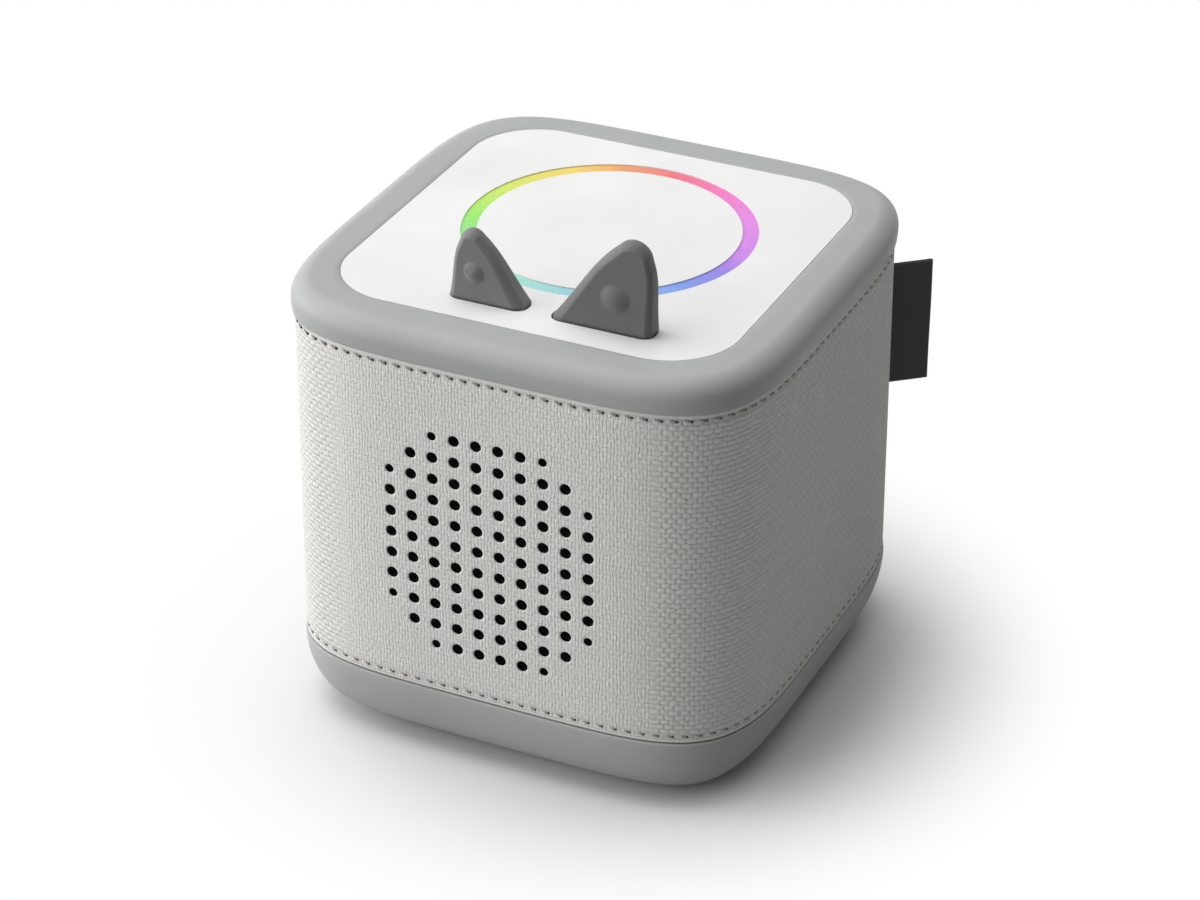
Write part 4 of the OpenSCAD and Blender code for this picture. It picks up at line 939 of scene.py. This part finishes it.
def ear(name, left, right, tip, tip_r, bump, bump_r, bow_left, bow_right):
    """An ear in outline: two straight or slightly bowed sides that touch a round tip. From the outline a
    band turns in to a flat front and back, |d|^p + |y|^p = 1 across it, narrower where the edge is
    upright, and the faces run to a spine."""
    centre = np.array([tip[0], tip[1] - tip_r])

    def touch(foot, way):
        """The angle at which the tip's circle meets a straight side from foot: way is 1 left, -1 right."""
        to = centre - foot
        lean = math.atan2(to[1], to[0]) + way * math.asin(tip_r / math.hypot(*to))
        return math.degrees(lean) + way * 90

    n_side, n_arc, n_low = 40, 26, 5
    left_a = touch(np.array([left, 0.0]), 1)
    right_a = touch(np.array([right, 0.0]), -1)
    tip_arc = arc_points(centre, tip_r, left_a, right_a, n_arc)
    t = np.linspace(0, 1, n_side)[:, None]

    def edge(foot, end, way, bow):
        """A side from foot to end that bows outwards by bow sin(pi t^2)."""
        run = end - foot
        outward = way * np.array([-run[1], run[0]]) / math.hypot(*run)
        return foot + run * t + outward * bow * np.sin(math.pi * t ** 2)

    up_left = edge(np.array([left, 0.0]), tip_arc[0], 1, bow_left)
    down_right = edge(np.array([right, 0.0]), tip_arc[-1], -1, bow_right)[::-1]
    low = np.linspace(-EAR_FOOT, 0, n_low)[:-1]
    low_left = np.stack([np.full(n_low - 1, left), low], -1)
    low_right = np.stack([np.full(n_low - 1, right), low[::-1]], -1)
    outline = np.concatenate([low_left, up_left, tip_arc[1:-1], down_right, low_right])
    ahead = np.roll(outline, -1, 0) - np.roll(outline, 1, 0)
    ahead[0], ahead[-1] = (0, 1), (0, -1)
    normal = np.stack([-ahead[:, 1], ahead[:, 0]], -1) / np.hypot(ahead[:, 0], ahead[:, 1])[:, None]

    foot_mid = np.array([(left + right) / 2, -EAR_FOOT])
    side_climb = np.concatenate([np.linspace(0, 0.12, n_low)[:-1], 0.12 + 0.88 * t[:, 0]])
    climb = np.concatenate([side_climb, np.ones(n_arc - 2), side_climb[::-1]])[:, None]
    spine = foot_mid + (centre - foot_mid) * climb

    height = np.clip(outline[:, 1:] / tip[1], 0, 1)
    depth = ear_depth(height)
    band = (EAR_BAND[0] + (EAR_BAND[1] - EAR_BAND[0]) * height) * (1.05 - 0.5 * normal[:, :1] ** 4)
    phi = np.linspace(0, math.pi / 2, 12)[None, :]
    inward = band * (1 - np.sin(phi) ** (2 / EAR_BAND_POWER))
    back = band * (1 - np.cos(phi) ** (2 / EAR_BAND_POWER))
    edge_xz = outline[:, None, :] - normal[:, None, :] * inward[:, :, None]
    back_in = EAR_BACK * (1 - np.cos(phi)) * np.ones_like(depth)
    back_up = EAR_BACK * (1 - np.sin(phi)) * np.ones_like(depth)
    back_xz = outline[:, None, :] - normal[:, None, :] * back_in[:, :, None]
    fill = np.linspace(0, 1, 34)[None, :-1, None]
    face_xz = spine[:, None, :] + (edge_xz[:, :1] - spine[:, None, :]) * fill
    off = np.hypot(face_xz[:, :, 0] - bump[0], face_xz[:, :, 1] - bump[1]) / bump_r
    dome = DOME_H * np.clip(1 - off ** 2, 0, 1) ** DOME_POWER
    front = np.concatenate([face_xz, edge_xz], 1)
    front_y = EAR_FRONT + np.concatenate([-dome, back], 1)
    rear_face = spine[:, None, :] + (back_xz[:, -1:] - spine[:, None, :]) * fill
    rear_rise = np.clip(rear_face[:, :, 1] / tip[1], 0, 1)
    rear_depth = ear_depth(rear_rise)
    rear = np.concatenate([back_xz, rear_face[:, ::-1]], 1)
    rear_y = EAR_FRONT + np.concatenate([depth - back_up, rear_depth[:, ::-1]], 1)
    xz = np.concatenate([front, rear], 1)
    y = np.concatenate([front_y, rear_y], 1)
    points = np.stack([xz[:, :, 0], y, xz[:, :, 1] + plate_top], -1)
    root = np.array([foot_mid[0], EAR_FRONT + EAR_T[0] / 2])
    away = points[:, :, :2] - root
    drawn = EAR_ROOT * np.clip(1 - xz[:, :, 1:] / (0.25 * MM), 0, 1) ** 0.5 * np.ones(2)
    points[:, :, :2] = root + np.sign(away) * np.maximum(np.abs(away) - drawn, 0)
    faces = grid_faces(len(points), points.shape[1], wrap_columns=False)
    return piece_from(name, points, faces, 0.004 * MM, outward=True, caps=True)


def silicone(name, colour):
    """Matte silicone: soft grain and a faint bloom."""
    return moulded(name, colour, 0.62, 2400.0, 0.02 * MM, Specular_IOR_Level=0.35, Sheen_Weight=0.15)


large_rubber = silicone("large_ear_rubber", (0.110, 0.110, 0.108))
small_rubber = silicone("small_ear_rubber", (0.147, 0.147, 0.145))
large_ear = ear(
    "large_ear", left=6.4 * MM, right=31.25 * MM, tip=(26.4 * MM, 22.7 * MM), tip_r=4.3 * MM,
    bump=(22.8 * MM, 8.45 * MM), bump_r=3.55 * MM, bow_left=0.85 * MM, bow_right=0.65 * MM
)
small_ear = ear(
    "small_ear", left=-19.0 * MM, right=0.0, tip=(-13.0 * MM, 17.35 * MM), tip_r=2.8 * MM,
    bump=(-12.15 * MM, 7.35 * MM), bump_r=2.6 * MM, bow_left=0.6 * MM, bow_right=0.6 * MM
)
for skin, rubber, body, node in (
    (large_ear, large_rubber, "large_button", "large_ear_skin"),
    (small_ear, small_rubber, "small_button", "small_ear_skin")
):
    skin.data.materials.append(rubber)
    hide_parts(node)
    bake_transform(skin)


# ---- Sockets at the back ----
# A grey plate in the cover's back holds a headphone jack and a socket for the charging lead.

port_plate = merged_copy("port_plate", "socket_plate", 0.25 * MM, 3, 40)
port_grey = moulded("socket_grey_plastic", (0.30, 0.30, 0.30), 0.5)
port_plate.data.materials.append(port_grey)
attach(port_plate, "player")


# ---- Loudspeaker: gasket, surround, spider ----
# The driver's soft parts: a foam ring that seals it to the housing, the rubber roll that the cone hangs
# on, and the spider, a disc of stiffened cloth pressed in rings, that centres the coil.

def about_speaker(name, profile, closed=False, **options):
    """A profile of (radius, y) pairs turned about the loudspeaker's own axis, which runs along Y."""
    sides = 144
    a = np.arange(sides) * 2 * math.pi / sides
    r, y = profile[:, 0][:, None], profile[:, 1][:, None]
    rings = np.stack([r * np.cos(a), np.broadcast_to(y, (len(profile), sides)), HOLES_Z + r * np.sin(a)], -1)
    return piece_from(name, rings, grid_faces(len(profile), sides, closed), **options)


GASKET_WIDTH = 3.0 * MM
GASKET_BULGE = 0.25 * MM
gasket_low, gasket_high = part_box("speaker_gasket")
gasket_out = gasket_high.x
across_gasket = np.linspace(0, 1, 7)
bulge = GASKET_BULGE * np.sin(across_gasket * math.pi)
gasket_y = gasket_low.y + (gasket_high.y - gasket_low.y) * across_gasket
gasket_profile = np.concatenate([
    np.stack([gasket_out - GASKET_BULGE + bulge, gasket_y], -1),
    np.stack([gasket_out - GASKET_WIDTH + GASKET_BULGE - bulge, gasket_y], -1)[::-1]
])
gasket = about_speaker("foam_gasket", gasket_profile, closed=True, outward=True)
gasket.data.materials.append(foam_black)
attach(gasket, "player")
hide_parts("speaker_gasket")

ROLL_T = 0.5 * MM
ROLL_LAND = 0.3 * MM
roll_low, roll_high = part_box("speaker_surround")
roll_r = roll_high.y - roll_low.y - ROLL_T / 2
roll_mid = roll_high.x - roll_r - ROLL_T / 2
roll_a = np.radians(np.linspace(0, 180, 25))
roll_profile = np.concatenate([
    [[roll_mid - roll_r - ROLL_LAND, roll_high.y]],
    np.stack([roll_mid - roll_r * np.cos(roll_a), roll_high.y - roll_r * np.sin(roll_a)], -1),
    [[roll_mid + roll_r + ROLL_LAND, roll_high.y]]
])
roll = about_speaker("rubber_roll", roll_profile)
roll_rubber = moulded("roll_rubber", (0.02, 0.02, 0.02), 0.6, 2400.0, 0.02 * MM)
roll.data.materials.append(roll_rubber)
thickened(roll, "roll_thickness", ROLL_T)
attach(roll, "player")
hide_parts("speaker_surround")

SPIDER_RINGS = 5
SPIDER_WAVE = 0.3 * MM
SPIDER_T = 0.3 * MM
SPIDER_IN = 7.7 * MM
spider_low, spider_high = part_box("speaker_spider")
spider_mid = (spider_low.y + spider_high.y) / 2
spider_t = np.linspace(0, 1, SPIDER_RINGS * 12 + 1)
spider_swell = np.clip(8 * np.minimum(spider_t, 1 - spider_t), 0, 1)
spider_profile = np.stack([
    SPIDER_IN + (spider_high.x - SPIDER_IN) * spider_t,
    spider_mid + SPIDER_WAVE * spider_swell * np.sin(2 * math.pi * SPIDER_RINGS * spider_t)
], -1)
spider = about_speaker("pressed_spider", spider_profile)
spider_cloth = moulded("spider_cloth", (0.5, 0.36, 0.12), 0.9, 1500.0, 0.08 * MM)
spider.data.materials.append(spider_cloth)
thickened(spider, "spider_thickness", SPIDER_T)
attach(spider, "player")
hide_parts("speaker_spider")


# ---- What is inside ----
# Housing, loudspeaker, battery, boards and screws keep their CAD shapes, each in its own finish.

def brushed(name, colour, roughness):
    """Plated steel: fine scratches and a cloudy sheen."""
    mat = finish(name, colour, roughness, Metallic=1.0)
    scratch = grain(mat, 1500.0, 4.0, stretch=(1, 1, 0.08))
    into(mat, "Roughness", spread(mat, scratch, 0.3, 0.7, roughness * 0.75, roughness * 1.3))
    into(mat, "Normal", raised(mat, scratch, 0.01 * MM))
    return mat


PLATED = {
    "screw_steel": ((0.6, 0.6, 0.6), 0.32),
    "plated_steel": ((0.55, 0.55, 0.57), 0.35),
    "magnet_nickel": ((0.6, 0.6, 0.62), 0.18),
    "copper": ((0.6, 0.3, 0.14), 0.3),
}
MOULDED = {
    "housing_plastic": ((0.80, 0.80, 0.77), 0.5),
    "black_plastic": ((0.02, 0.02, 0.02), 0.45),
    "cell_sleeve": ((0.05, 0.18, 0.5), 0.3),
    "board_green": ((0.02, 0.12, 0.05), 0.35),
    "board_white": ((0.8, 0.8, 0.78), 0.35),
    "lamp_white": ((0.9, 0.88, 0.7), 0.25),
    "ribbon_film": ((0.5, 0.22, 0.04), 0.35),
    "lead_red": ((0.4, 0.02, 0.02), 0.5),
    "lead_black": ((0.02, 0.02, 0.02), 0.5),
    "basket_steel": ((0.05, 0.05, 0.055), 0.4),
    "cone_paper": ((0.04, 0.04, 0.04), 0.85, 1300.0, 0.06 * MM),
    "ferrite": ((0.03, 0.03, 0.032), 0.7, 1600.0, 0.03 * MM),
}
inside = {slot: brushed(slot, *look) for slot, look in PLATED.items()}
inside.update({slot: moulded(slot, *look) for slot, look in MOULDED.items()})
inside.update({"foam": foam_black, "ear_rubber": large_rubber})
for part in frame["record"]["subparts"]:
    node = frame["nodes"][part["node"]]
    if node.hide_render or part["material_slot"] not in inside:
        continue
    node.data.materials.clear()
    node.data.materials.append(inside[part["material_slot"]])
